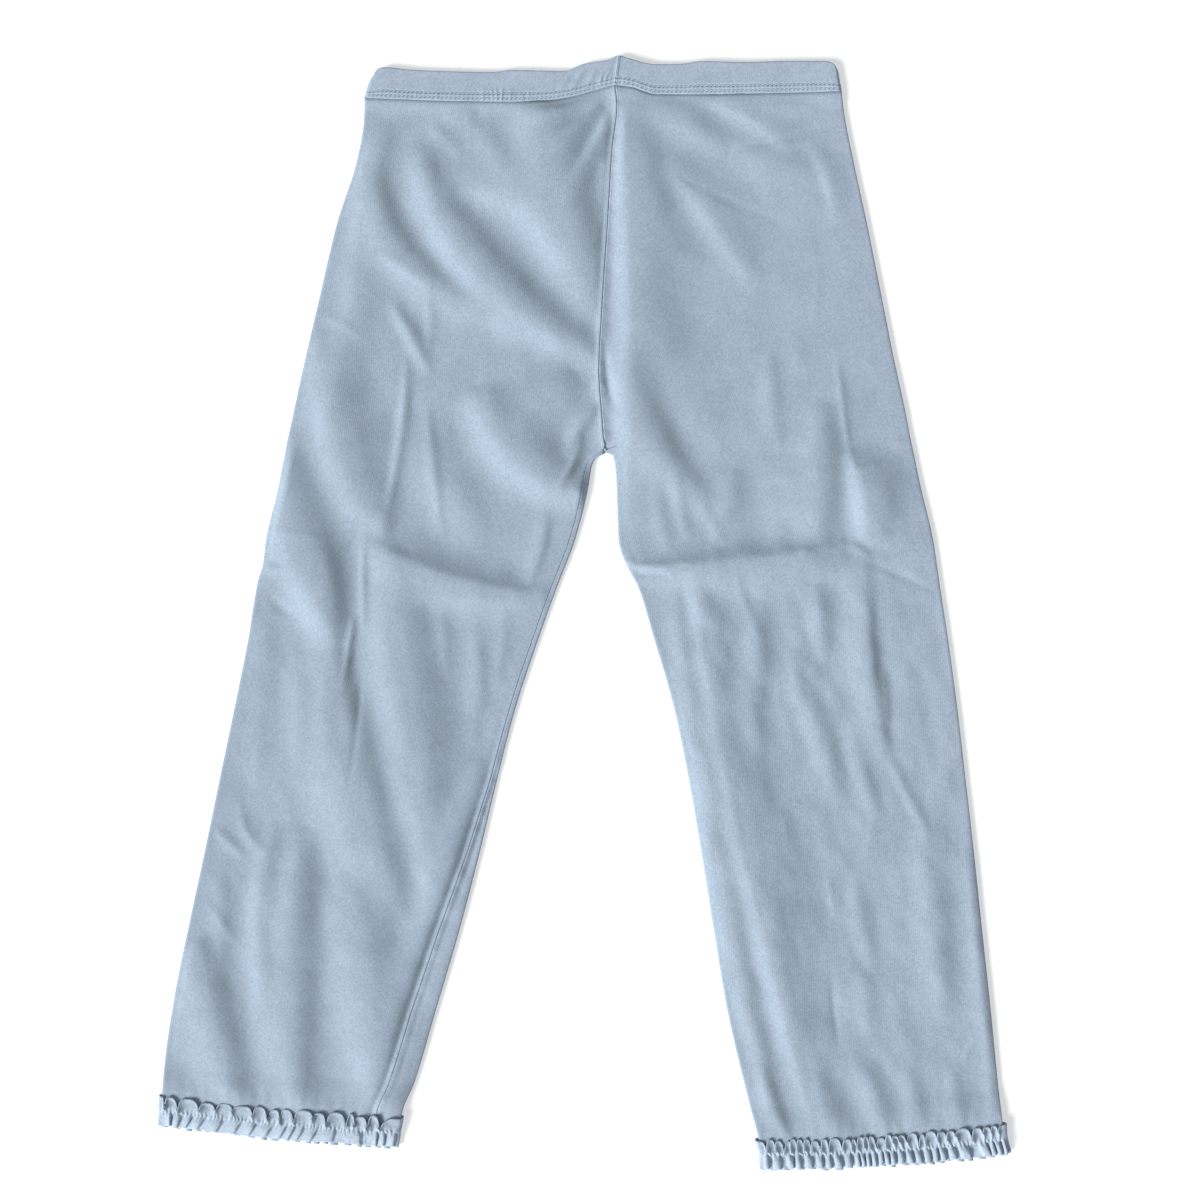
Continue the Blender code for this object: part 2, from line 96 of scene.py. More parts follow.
def new_material(name, **finish):
    """A Principled material with its constants on the shader's own sockets."""
    material = bpy.data.materials.new(name)
    material.use_nodes = True
    shader = material.node_tree.nodes["Principled BSDF"]
    for socket, value in finish.items():
        shader.inputs[socket.replace("_", " ")].default_value = value
    return material, material.node_tree, shader


# Opal acrylic with a matt face: even, nearly white and without a reflection.
opal, opal_tree, opal_shader = new_material(
    "opal_sheet", Roughness=0.9, Emission_Color=(1, 1, 1, 1), Emission_Strength=SHEET_GLOW,
    Specular_IOR_Level=0.2)
opal_grain = add_node(opal_tree, "TexNoise", {"Scale": 900, "Detail": 3})
opal_tone = add_node(opal_tree, "Mix", {
    "Factor": opal_grain.outputs["Fac"], "A": linear(SHEET_DARK), "B": linear(SHEET_LIGHT)},
    data_type="RGBA")
opal_tree.links.new(opal_tone.outputs["Result"], opal_shader.inputs["Base Color"])

floor_mesh = bpy.data.meshes.new("floor")
floor_mesh.from_pydata([(-6, -6, 0), (6, -6, 0), (6, 6, 0), (-6, 6, 0)], [], [(0, 1, 2, 3)])
floor_mesh.materials.append(opal)
floor = bpy.data.objects.new("floor", floor_mesh)
scene.collection.objects.link(floor)

key = bpy.data.objects.new("key", bpy.data.lights.new("key", "SUN"))
key.data.angle = math.radians(KEY_SPREAD)
key.data.energy = KEY_STRENGTH
aim = np.array(KEY_FROM) / np.linalg.norm(KEY_FROM)
key.rotation_euler = (math.acos(aim[2]), 0, math.atan2(aim[0], -aim[1]))
scene.collection.objects.link(key)

world = bpy.data.worlds.new("surround")
world.use_nodes = True
backdrop = world.node_tree.nodes["Background"]
backdrop.inputs["Color"].default_value = SURROUND_COLOUR
backdrop.inputs["Strength"].default_value = SURROUND_STRENGTH
scene.world = world
scene.view_settings.view_transform = "Standard"

# ------------ leg panels
# Each leg is one panel of cotton and elastane jersey, folded at the side and closed down its inseam,
# and sewn to the other from the waist to the crotch. It lies in two layers, with its hem on the ruffle.
MM = 0.001
MIDDLE = (-0.41, 0.8)  # where the origin lies in the tables' x and y
CLOTH_WALL = 0.8
SEAM_GAP = 0.1  # between two edges that are sewn together
LEG_HEIGHT = 2.9  # of the upper layer's face where it has no folds
LEG_TURN = 0.8  # depth of the fold at its edge, seen from above
WAIST_EXTRA = 1.25  # how much higher the upper layer lies at the casing
HEM_LIFT = 1.7  # how far the under layer rises to clear the ruffle below it
HEM_EXTRA = 1.5  # how much higher the upper layer lies there
HEM_BOW = {"left": 1.5, "right": 2.4}  # how far the middle of a hem sags below its ends
BOW_REACH = 40  # the bow fades out this far above the hem
WAIST_REACH = 60  # and the waist line's curve this far below the casing
WAIST_EXTRA_REACH = 9
CROTCH_FLAP = 9  # cloth beside the back seam that becomes the inner edge
TUCK_REACH = 1.5  # the cloth runs in under the casing, and its layers come closer
TUCK_UP = 0.6
TUCK_UPPER = -0.25
TUCK_UNDER = 0.3
LEG_ROWS = 316  # of the mesh, and columns across each layer
TOP_COLUMNS = 112
UNDER_COLUMNS = 15
TURN_COLUMNS = 6
STRIP_COLUMNS = 5
SEAM_CROWD = 0.62  # how much closer columns are at a seam, and over what share of the layer
SEAM_ZONE = 0.05
# Sections across a leg from the waist down: x and y of the outer point, on the side fold, and of the
# inner one, on the centre seam or the inner edge, and how far the inseam lies in from that edge. Then
# where a leg is closed on itself, and where the ruffle lifts it.
LEFT_LEG = (
    (-128.5, 298.7, 17.2, 306, 0), (-129, 286, 18.3, 294, 0), (-133, 263, 15.5, 268.5, 0),
    (-144.7, 226, 12.8, 225, 0), (-155.2, 181.5, 9.9, 181, 0), (-163.3, 146.7, 7.9, 141, 0),
    (-170.2, 115, 9.6, 115, 0), (-173, 102, 10.6, 101.5, 0), (-173.9, 98, 11.6, 97, 0.4),
    (-174.4, 95, 12.1, 93.6, 3.2), (-175.2, 91, 5.8, 89.8, 3.2), (-176.6, 84, 3.4, 84, 3.2),
    (-178.4, 74, 1.9, 74, 3.2), (-185.9, 42.3, -5.9, 43, 3.2), (-187.7, 28, -11.2, 28.5, 3.2),
    (-190.6, 18.5, -14.8, 19.5, 3.2), (-196.3, -15.7, -27.6, -15.7, 3.2), (-204.4, -56, -41, -56.5, 3.2),
    (-212.9, -97, -51.6, -98, 3.8), (-221.6, -139, -62, -141.5, 7.4), (-230.6, -181, -73.7, -186, 11.7),
    (-239.3, -224.5, -87.1, -231.5, 13.6), (-244.8, -262, -99.8, -274, 14.2),
    (-245.8, -277, -105.8, -288, 14.5), (-246.2, -290.5, -109, -303.5, 14.5),
)
RIGHT_LEG = (
    (148.8, 302.7, 17.2, 306, 0), (150.6, 289, 18.3, 294, 0), (155.7, 263, 15.5, 268.5, 0),
    (164.1, 224, 12.8, 225, 0), (172.6, 181.5, 9.9, 181, 0), (179.5, 146.7, 7.9, 141, 0),
    (186.4, 115, 9.6, 115, 0), (188.8, 102, 10.6, 101.5, 0), (189.7, 98, 10.6, 97, 0.4),
    (190.4, 94.6, 10.3, 93.6, 3.2), (191, 92, 15.2, 91.8, 3.2), (192.4, 85, 16.9, 86, 3.2),
    (194.5, 75, 17.8, 75, 3.4), (202.1, 42.3, 18.9, 42.3, 3.8), (204.3, 28, 23.2, 28.5, 4),
    (206, 16, 30.3, 15, 4.2), (210.8, -15.7, 39.7, -15.7, 4.6), (216.2, -56, 51.6, -57, 5.2),
    (221.1, -98, 60.1, -98.5, 5.8), (225.9, -140, 67.4, -141, 6.4), (230.4, -183, 74.1, -183, 7),
    (235.3, -228, 82, -230, 7.6), (240, -276, 95.4, -287, 8), (241.6, -291, 99.2, -301, 8),
    (243.4, -307, 103, -316.2, 8),
)
CLOSED = (0,) * 8 + (0.2,) + (1,) * 16
LIFTED = (0,) * 23 + (1,) * 2
WAIST_LINE = (
    (-128.5, 298.7), (-100, 297.6), (-83, 297), (-40, 296.5), (-24, 297), (-8, 299.4), (11, 304.6),
    (17.2, 306), (26.4, 305.1), (33.9, 302.6), (40.9, 300.8), (66, 300.7), (100, 301.3), (130, 302),
    (148.8, 302.7),
)

# Creases of the upper layer, placed one by one: the crest from start through middle to end, the width of
# its right-hand and left-hand flank as one goes along it, its height, negative for a trough, and a last 1
# only where it is pinched sharp, or 2 where its left-hand flank alone is.
CREASE_STEPS = 13  # points along a crest
CREASE_TAPER = 0.85  # its height follows half a sine wave raised to this power
CREASE_ENDS = 0.6  # how wide its ends are against its middle
CREASE_SCALE = 1.75  # what a height of 1 means where it is CREASE_WIDTH wide
CREASE_WIDTH = 6
CREASE_BREADTH = 0.3  # power by which a wider one is higher
CREASE_RISE = 6.5  # where they cross, their sum levels off here
CREASE_SINK = 1.5
CREASE = ("x0", "y0", "x1", "y1", "x2", "y2", "right", "left", "height", "sharp")
LEFT_CREASES = (
    # side of the thigh
    (-178, 106, -168, 46, -149, -12, 14, 17, 3), (-162, 46, -152, 14, -144, -24, 9, 13, 1),
    (-154, 166, -139, 88, -112, 48, 13, 19, 2.4), (-128, 262, -134, 180, -152, 96, 9, 17, 0.9),
    (-120, 60, -117, 50, -118, 40, 5, 6, 0.6),
    # hip, across from the side to the crotch
    (-98, 272, -60, 198, 12, 148, 12, 14, 3.7), (-113, 286, -113, 217, -34, 162, 12, 9.5, 2),
    (-84, 250, -26, 234, 5, 168, 15, 20, 2.4),
    # packing folds and the fan below the centre seam's top
    (-25, 290, -26, 262, -24, 236, 3, 3, 0.4, 1), (-67, 294, -67, 278, -67, 260, 3, 3, 0.25, 1),
    (-88, 246, -56, 245, -26, 246, 3, 3, 0.3, 1), (-64, 284, -52, 267, -37, 248, 8, 9, 0.8),
    (-92, 284, -82, 276, -68, 264, 4, 4, 0.3), (-26, 300, -20, 262, -4, 200, 18, 18, 3.3),
    (14, 290, 2, 264, -20, 234, 3.5, 6.5, 2), (10, 296, -8, 279, -26, 266, 3.5, 6, 1.8),
    (12, 302, -12, 292, -36, 286, 3.5, 5, 1.4), (17, 292, 16, 262, 12, 226, 7, 2, 1),
    (-84, 288, -73, 289, -62, 289, 6, 4, 0.5),
    # thigh
    (-156, 175, -141, 167, -126, 158, 2.5, 2.5, 0.5, 1), (-120, 208, -106, 200, -92, 190, 3, 4, 0.6),
    (-91, 194, -90, 172, -90, 150, 3, 3, 0.4), (-114, 182, -101, 160, -90, 138, 4, 5, 1.1),
    (-104, 150, -107, 104, -116, 54, 2.8, 3.5, 1.1), (-92, 124, -88, 85, -83, 44, 4, 3, 0.7),
    (-64, 132, -39, 93, 6, 64, 13, 17, 3.4), (-40, 105, -22, 122, -4, 138, 14, 10, 1),
    (-102, 116, -82, 75, -56, 38, 15, 17, 0.9), (-22, 60, -26, 38, -33, 16, 6, 3.5, 0.8),
    (14, 122, -2, 110, -10, 90, 5, 4, 1.5), (-2, 104, -7, 88, -17, 70, 3, 3, 1.5, 1),
    (4, 92, -4, 84, -14, 74, 2.2, 2.2, -0.9), (-10, 72, -3, 70, 3, 69, 4, 4, 1),
    (-60, 128, -34, 128, -8, 142, 12, 12, 0.6),
    # knee
    (-132, 47, -82, 22, -20, 11, 15, 9, 2.6, 2), (-110, 10, -70, 9, -32, 4, 2.5, 2.5, 0.35, 1),
    (-190, 49, -170, 46, -148, 42, 3, 3, 0.6, 1), (-195, 22, -186, 26, -174, 24, 2.5, 2.5, 0.9),
    (-184, 12, -178, 4, -168, -2, 3, 3, -0.5),
    # calf
    (-113, 36, -105, -50, -82, -178, 16, 20, 2.9), (-152, 40, -150, 0, -140, -60, 12, 9, 1.5),
    (-147, -20, -134, -88, -104, -184, 26, 13, 2.9), (-128.5, 46, -129, 18, -128, -12, 1.8, 1.8, 1.2, 1),
    (-134, -2, -137, -20, -140, -45, 1.9, 1.9, 1.7, 1), (-131, -38, -133, -72, -139, -112, 2, 2, -1.3, 1),
    (-186, 4, -188, -50, -192, -112, 8, 8, 0.5), (-168, -26, -166, -60, -168, -94, 6, 6, 0.4),
    (-153, -32, -149, -55, -152, -84, 6, 5, 0.5), (-84, 8, -82, -15, -80, -38, 5, 4, 0.4),
    (-64, -6, -62, -40, -66, -78, 7, 5, 0.6), (-93, -56, -92, -90, -88, -124, 6, 6, 0.3),
    (-47, 6, -48, -16, -52, -44, 4, 4, 0.4), (-60, -84, -85, -158, -126, -272, 10, 8, 1.7),
    # above the hem
    (-178, -122, -188, -165, -186, -228, 7, 8, 1.4), (-162, -124, -171, -205, -164, -304, 13, 13, 3.2),
    (-142, -150, -125, -215, -119, -300, 18, 18, 2.9), (-226, -188, -214, -240, -198, -302, 16, 12, 2.5),
    (-190, -180, -186, -228, -179, -294, 11, 10, 0.9), (-212, -146, -211, -178, -212, -208, 6, 6, 0.6),
    (-201, -108, -196, -128, -184, -138, 3, 3, 0.7, 1), (-217, -124, -207, -133, -198, -142, 3, 3, 0.7),
    (-224, -163, -212, -178, -203, -192, 2.5, 2.5, 0.5, 1),
    (-126, -220, -122, -231, -117, -242, 2.2, 2.2, 0.6, 1),
)
RIGHT_CREASES = (
    # along the centre seam and out across the hip
    (18, 304, 27, 215, 26, 46, 9, 22, 2.3), (24, 288, 38, 238, 68, 194, 12, 12, 0.5),
    (46, 264, 72, 232, 102, 184, 8, 14, 1), (24, 296, 58, 284, 84, 268, 9, 10, 1.1),
    (58, 301, 92, 290, 122, 268, 6, 12, 0.8), (84, 268, 108, 262, 136, 255, 14, 9, 0.6),
    (128, 274, 141, 252, 144, 226, 4, 8, 0.5), (42, 264, 72, 244, 131, 221, 1.8, 1.8, -0.35, 1),
    (80, 268, 115, 275, 151, 286, 2, 2, -0.4), (138, 266, 147, 268, 158, 273, 2, 2, -0.4),
    (8, 168, 11, 142, 19, 114, 3.6, 3.6, -1.1), (36, 293, 54, 293, 72, 292, 5, 4, 0.5),
    (102, 294, 118, 294, 136, 294, 5, 4, 0.6),
    # thigh
    (44, 185, 56, 135, 80, 88, 12, 14, 0.5), (20, 158, 36, 104, 76, 60, 13, 11, 2),
    (40, 78, 44, 54, 49, 34, 5, 5, 0.5), (52, 84, 55, 62, 60, 42, 4, 4, 0.5),
    (66, 66, 72, 54, 80, 40, 4, 4, 0.5), (88, 84, 82, 64, 76, 40, 8, 9, 0.9),
    (118, 92, 116, 64, 108, 36, 14, 12, 0.9), (138, 124, 136, 74, 134, 38, 14, 12, 2.3),
    (152, 96, 163, 66, 162, 40, 8, 18, 2.3), (146, 152, 150, 115, 156, 82, 2.5, 3, 0.7, 1),
    (96, 77, 125, 80, 153, 84, 2.4, 2.4, 0.4, 1), (146, 108, 157, 118, 168, 128, 2.2, 2.2, 0.45, 1),
    (128, 92, 134, 102, 142, 108, 2.4, 2.4, 0.4, 1), (152, 82, 163, 84, 176, 87, 2.2, 2.2, 0.5, 1),
    (150, 41, 175, 48, 200, 56, 2, 2, -0.5, 1), (176, 97, 183, 99, 192, 99, 2.2, 2.2, 0.5, 1),
    (164, 66, 172, 73, 184, 84, 2.4, 2.4, 0.35, 1), (107, 156, 108, 125, 113, 92, 6, 6, 0.5),
    (136, 204, 134, 184, 133, 164, 3, 3, 0.2, 1), (118, 168, 124, 150, 131, 132, 5, 5, 0.2),
    # knee
    (30, 27, 92, 30.5, 152, 40, 15, 7.5, 3.4, 2), (18, 33, 32, 27, 52, 27, 2.5, 2.5, 1.1, 1),
    (24, 22, 38, 23, 50, 20, 2.5, 2.5, -0.7), (86, 24, 93, 5, 100, -14, 3, 3, 0.4),
    (128, 22, 148, 26, 166, 22, 9, 8, 0.6), (146, 41, 157, 38, 168, 30, 2.4, 2.4, 0.6, 1),
    (164, 30, 182, 22, 208, 10, 2, 2, -0.6, 1), (62, 14, 70, 2, 80, -10, 7, 8, 0.8),
    # calf
    (161, 34, 164, -25, 174, -88, 10, 6, 1.1), (170, 24, 172, -30, 182, -92, 4, 8, -0.4),
    (176, -84, 188, -108, 200, -130, 3, 4, 0.6), (133, 18, 136, -3, 139, -28, 7, 7, 1.2),
    (172, -30, 174, -50, 176, -68, 4, 3, 0.6), (101, 8, 99, -22, 101, -52, 8, 8, 1.3),
    (91, -34, 96, -55, 103, -82, 7, 6, 0.8), (131, -46, 137, -75, 146, -110, 7, 7, 1),
    (118, -18, 124, -45, 130, -72, 6, 6, 0.6), (154, -54, 160, -90, 172, -120, 6, 6, 0.6),
    (64, 16, 93, -140, 140, -316, 9, 20, 2.2), (52, 10, 77, -140, 114, -312, 8, 8, 1.4),
    (104, -174, 113, -212, 128, -250, 6, 6, 0.6), (110, -104, 118, -136, 118, -172, 10, 10, 0.4),
    (143, -208, 144, -228, 147, -252, 2.5, 2.5, -0.6, 1),
    (140, -150, 143, -165, 144, -178, 2.4, 2.4, 0.4, 1), (155, -156, 160, -180, 168, -210, 6, 6, 0.7),
    (160, -206, 163, -230, 162, -258, 6, 6, 0.5), (91, -128, 102, -120, 118, -116, 3, 3, 0.2, 1),
    (163, -140, 166, -130, 176, -122, 2.5, 2.5, 0.4, 1), (198, -104, 207, -98, 217, -86, 2.5, 2.5, 0.4, 1),
    (196, -122, 202, -180, 208, -240, 10, 10, 1.2), (226, -90, 233, -200, 243, -300, 9, 9, 1.2),
    (220, -262, 224, -250, 237, -236, 2.5, 2.5, 0.5, 1), (180, -236, 187, -250, 192, -266, 6, 6, 0.3),
    # above the hem
    (134, -266, 140, -288, 152, -312, 6, 9, 0.6), (158, -258, 168, -285, 177, -312, 8, 8, 1),
    (186, -262, 190, -285, 197, -312, 7, 7, 0.7), (212, -262, 215, -285, 217, -306, 6, 6, 0.8),
    (102, -262, 108, -285, 122, -312, 5, 5, 0.9),
)
# How wrinkled each leg is at these heights: little at the hip, most on the calf. The wrinkles are noise
# of three sizes, each with its height, its slant and its size across and down the leg.
WRINKLE_HEIGHTS = (-300, -30, 20, 70, 300)
LEFT_WRINKLES = (0.8, 0.8, 0.6, 0.5, 0.45)
RIGHT_WRINKLES = (1.3, 1.4, 1.2, 0.5, 0.35)
WRINKLES = ((0.34, 0.25, 17, 32), (0.2, 0.2, 7.5, 12), (0.05, 0, 3.4, 5.2))
UNDER_RELIEF = 0.55  # of the under layer
# Where the relief starts and over what length it grows, from the casing, the hem and an edge.
WAIST_FADE = (-2, 9)
HEM_FADE = (5, 17)
HEM_RELIEF = 0.12  # the share that is left at the hem
EDGE_FADE = (-1, 7)
INNER_FADE = (-1, 6)
PUCKER_HEIGHT = 0.22  # of the puckers that the ruffle's stitching draws into the hem
PUCKER_TURN = 0.87  # radians a millimetre
PUCKER_START = 8
PUCKER_REACH = 16
# Sewn edges meet at one height, with rolls beside the seam: height, way from the seam, width. The left
# leg's seams lie on top, and beside its inseam the cloth dips. Ticks show the pull of the stitches.
SEAM_REACH = 3.5
SEAM_RELIEF = 1.2
TOP_SEAM_ROLLS = ((0.26, 0.7, 0.8), (-0.1, 2.6, 1))
UNDER_SEAM_ROLLS = ((0.08, 0, 0.6), (-0.12, 1.2, 0.8))
INSEAM_SHOWS = (30, 60)  # it starts to show this far below y 0, and over what length
INSEAM_DIP = (0.85, 2.9, 2.1)
INSEAM_DIPS = (50, 110)
HIDDEN_GAP = 0.02
TICK_HEIGHT = 0.26
TICK_SIZE = 3.6
TICK_SLANT = 0.8
TICK_REACH = 4.5
TICK_SEED = 91


def through_points(knots, values, at):
    """A cubic through the points whose slopes are harmonic means, so it never overshoots them."""
    knots = np.asarray(knots, dtype=float)
    values = np.asarray(values, dtype=float)
    step = np.diff(knots)
    grade = np.diff(values) / step
    slope = np.zeros(len(values))
    before, after = grade[:-1], grade[1:]
    same_way = before * after > 0
    slope[1:-1] = np.where(same_way, 2 * before * after / np.where(same_way, before + after, 1), 0)
    slope[0], slope[-1] = grade[0], grade[-1]
    at = np.clip(at, knots[0], knots[-1])
    place = np.clip(np.searchsorted(knots, at, side="right") - 1, 0, len(step) - 1)
    part = (at - knots[place]) / step[place]
    rest = 1 - part
    return (values[place] * (1 + 2 * part) * rest ** 2
            + values[place + 1] * (1 + 2 * rest) * part ** 2
            + step[place] * (slope[place] * part * rest ** 2 - slope[place + 1] * rest * part ** 2))


def ease(share):
    """0 at 0, 1 at 1 and level at both ends."""
    share = np.clip(share, 0, 1)
    return share * share * (3 - 2 * share)


def grow(way, start, length):
    """0 up to the start, 1 from a length further on, and eased between."""
    return ease((way - start) / length)


def bell(way, middle, width):
    """1 at the middle, falling smoothly to both sides over about the width."""
    return np.exp(-((way - middle) / width) ** 2)


def crease_relief(creases, x, y):
    """Sum of the creases: each is a bell across its crest, one width on either side, and tapers along it.

    The crest is a quadratic curve through its three points, in short straight pieces. The nearest one
    gives each point its distance, its side and how far along the crease it is.
    """
    relief = np.zeros_like(x)
    share = np.linspace(0, 1, CREASE_STEPS)
    for line in creases:
        c = dict(zip(CREASE, line))
        near, mid, far = (1 - share) * (1 - 2 * share), 4 * share * (1 - share), share * (2 * share - 1)
        crest_x = c["x0"] * near + c["x1"] * mid + c["x2"] * far
        crest_y = c["y0"] * near + c["y1"] * mid + c["y2"] * far
        best = np.full(x.shape, 1e9)
        side = np.zeros_like(x)
        along = np.zeros_like(x)
        for i, (cx, cy, dx, dy) in enumerate(zip(crest_x, crest_y, np.diff(crest_x), np.diff(crest_y))):
            part = np.clip(((x - cx) * dx + (y - cy) * dy) / (dx * dx + dy * dy), 0, 1)
            away = np.hypot(x - cx - part * dx, y - cy - part * dy)
            nearer = away < best
            best = np.where(nearer, away, best)
            side = np.where(nearer, dx * (y - cy) - dy * (x - cx), side)
            along = np.where(nearer, (i + part) / (CREASE_STEPS - 1), along)
        blend = 0.5 + 0.5 * np.tanh(side / np.hypot(dx, dy) / 1.5)
        swell = np.sin(math.pi * along)
        width = c["right"] + (c["left"] - c["right"]) * blend
        width = width * (CREASE_ENDS + (1 - CREASE_ENDS) * swell)
        sharp = c.get("sharp", 0)
        power = 2 - 0.8 * (blend if sharp == 2 else sharp)
        scale = CREASE_SCALE * (max(c["right"], c["left"]) / CREASE_WIDTH) ** CREASE_BREADTH
        relief += scale * c["height"] * np.exp(-(best / width) ** power) * swell ** CREASE_TAPER
    return np.where(relief > 0, CREASE_RISE * np.tanh(relief / CREASE_RISE),
                    CREASE_SINK * np.tanh(relief / CREASE_SINK))


def soft_noise(x, y, size_x, size_y, seed):
    """Smooth random heights of about -1 to 1, from a lattice of seeded numbers."""
    lattice = np.random.default_rng(seed).uniform(-1, 1, (128, 128))
    u, v = x / size_x + 40, y / size_y + 40
    i, j = np.floor(u).astype(int), np.floor(v).astype(int)
    a, b = ease(u - i), ease(v - j)
    i, j = i % 127, j % 127
    return ((lattice[i, j] * (1 - a) + lattice[i + 1, j] * a) * (1 - b)
            + (lattice[i, j + 1] * (1 - a) + lattice[i + 1, j + 1] * a) * b)


def leg_columns(width, closing, shifting, inner_y, seam_on_top):
    """Where each row's columns lie: its start at the seam, the way in from the side fold, and the layer.

    A row starts at the seam, crosses one layer (0) to the side fold, turns round a half ellipse and comes
    back across the other (1). Below the crotch it turns again and meets its own start at the inseam.
    """
    hidden = (1 - grow(-inner_y, *INSEAM_SHOWS)) * closing if seam_on_top else 0
    half_gap = SEAM_GAP / 2 * (1 - hidden) + HIDDEN_GAP * hidden
    seam_edge = width - half_gap
    start = seam_edge + (width - shifting - half_gap - seam_edge) * closing
    first, second = (TOP_COLUMNS, UNDER_COLUMNS) if seam_on_top else (UNDER_COLUMNS, TOP_COLUMNS)
    even = np.ones_like(width)
    bend = np.linspace(0, math.pi, TURN_COLUMNS + 1)

    # the layer with the seam, the side fold and the other layer
    spaced = np.linspace(0, 1, first + 1)
    spaced = spaced - SEAM_CROWD * (1 - np.exp(-spaced / SEAM_ZONE)) * SEAM_ZONE
    first_at = start + (LEG_TURN - start) * (spaced / spaced[-1])[:-1]
    second_end = seam_edge - CROTCH_FLAP + (CROTCH_FLAP - LEG_TURN) * closing
    second_at = LEG_TURN + (second_end - LEG_TURN) * np.linspace(0, 1, second + 1)[1:]

    # from there to the seam, flat above the crotch and turned under below it
    flat = second_end + (seam_edge - second_end) * np.linspace(0, 1, TURN_COLUMNS + STRIP_COLUMNS + 1)[1:]
    strip = second_end + (width - shifting + half_gap - second_end) * np.linspace(0, 1, STRIP_COLUMNS + 1)[1:]
    turned = np.concatenate([second_end + LEG_TURN * np.sin(bend[1:]), strip], axis=1)
    turned_layer = np.concatenate([0.5 + 0.5 * np.cos(bend[1:]), np.zeros(STRIP_COLUMNS)])
    at = np.concatenate([first_at, (LEG_TURN - LEG_TURN * np.sin(bend)) * even, second_at,
                         flat + (turned - flat) * closing], axis=1)
    layer = np.concatenate([np.zeros(first) * even, (0.5 - 0.5 * np.cos(bend)) * even,
                            np.ones(second) * even, 1 + (turned_layer - 1) * closing], axis=1)
    return start, at, layer


def leg_surface(side, sections, creases, wrinkles, seed):
    """Outer face of a leg panel as rows of points, with its cloth coordinates in millimetres."""
    seam_on_top = side == "left"
    outer_x, outer_y, inner_x, inner_y, shift = np.array(sections, dtype=float).T
    steps = np.hypot(np.diff(inner_x), np.diff(inner_y)) + np.hypot(np.diff(outer_x), np.diff(outer_y))
    knots = np.concatenate([[0], np.cumsum(steps) / 2])
    station = np.linspace(0, knots[-1], LEG_ROWS)[:, None]
    from_end = knots[-1] - station
    ax, ay, bx, by = (through_points(knots, v, station) for v in (outer_x, outer_y, inner_x, inner_y))
    closing, shifting, lifting = (np.interp(station, knots, v) for v in (CLOSED, shift, LIFTED))
    closing = ease(closing)
    width = np.hypot(bx - ax, by - ay)
    start, at, layer = leg_columns(width, closing, shifting, by, seam_on_top)

    # the outline seen from above
    share = at / width
    x = ax + (bx - ax) * share
    y = ay + (by - ay) * share
    first_y = outer_y[0] + (inner_y[0] - outer_y[0]) * (x - outer_x[0]) / (inner_x[0] - outer_x[0])
    tuck = ease(1 - station / TUCK_REACH)
    waist_y = through_points(*np.array(WAIST_LINE).T, x)
    y = y + (waist_y - first_y) * ease(1 - station / WAIST_REACH) + TUCK_UP * tuck
    y = y - HEM_BOW[side] * 4 * share * (1 - share) * ease(1 - from_end / BOW_REACH)

    # the relief, fading out towards the edges
    clear = grow(station, *WAIST_FADE) * (HEM_RELIEF + (1 - HEM_RELIEF) * grow(from_end, *HEM_FADE))
    clear = clear * grow(at, *EDGE_FADE)
    clear = clear * (1 - closing + closing * grow(width - at, *INNER_FADE))
    relief = crease_relief(creases, x, y)
    relief += np.interp(y, WRINKLE_HEIGHTS, wrinkles) * sum(
        tall * soft_noise(x + slant * y, y, across, down, seed + i)
        for i, (tall, slant, across, down) in enumerate(WRINKLES))
    pull = np.sin(x * PUCKER_TURN + 2 * soft_noise(x, y, 16, 60, seed + 3))
    relief += PUCKER_HEIGHT * ease(1 - (from_end - PUCKER_START) / PUCKER_REACH) * pull

    # the sewn edges
    to_seam = np.abs(at - start) * (1 - closing) + np.abs(at - (width - shifting)) * closing
    beside = bell(to_seam, 0, SEAM_REACH) * (1 - closing)
    relief = relief * (1 - beside) + SEAM_RELIEF * beside
    sewn = 1 - closing
    if seam_on_top:
        sewn = sewn + closing * grow(-y, *INSEAM_SHOWS)
    roll = sum(tall * bell(to_seam, way, wide)
               for tall, way, wide in (TOP_SEAM_ROLLS if seam_on_top else UNDER_SEAM_ROLLS))
    if seam_on_top:
        deep, way, wide = INSEAM_DIP
        roll -= deep * closing * grow(-y, *INSEAM_DIPS) * bell(to_seam, way, wide)
    tick = soft_noise(y + TICK_SLANT * to_seam, 0 * at, TICK_SIZE, 5, TICK_SEED)
    roll += TICK_HEIGHT * tick * bell(to_seam, 0, TICK_REACH)

    # the two layers' heights
    upper = LEG_HEIGHT + HEM_EXTRA * lifting + WAIST_EXTRA * ease(1 - station / WAIST_EXTRA_REACH)
    upper = upper + relief * clear + roll * sewn + TUCK_UPPER * tuck
    under_relief = 0.5 + 0.5 * soft_noise(x, y, 17, 70, seed + 5)
    under = HEM_LIFT * lifting + UNDER_RELIEF * under_relief ** 2 * clear + TUCK_UNDER * tuck
    z = under + (upper - under) * (1 - layer if seam_on_top else layer)
    across = np.cumsum(np.hypot(np.diff(x, axis=1, prepend=x[:, :1]), np.diff(z, axis=1, prepend=z[:, :1])),
                       axis=1)
    return np.stack([x, y, z], axis=-1), np.stack([across, station + 0 * at], axis=-1)


def new_piece(name, points, faces, material):
    """A smooth mesh from points in millimetres, as an object in the part's frame."""
    mesh = bpy.data.meshes.new(name)
    placed = (points.reshape(-1, 3) - [MIDDLE[0], MIDDLE[1], 0]) * MM
    mesh.from_pydata(placed.tolist(), [], faces)
    mesh.shade_smooth()
    mesh.materials.append(material)
    piece = bpy.data.objects.new(name, mesh)
    scene.collection.objects.link(piece)
    return piece


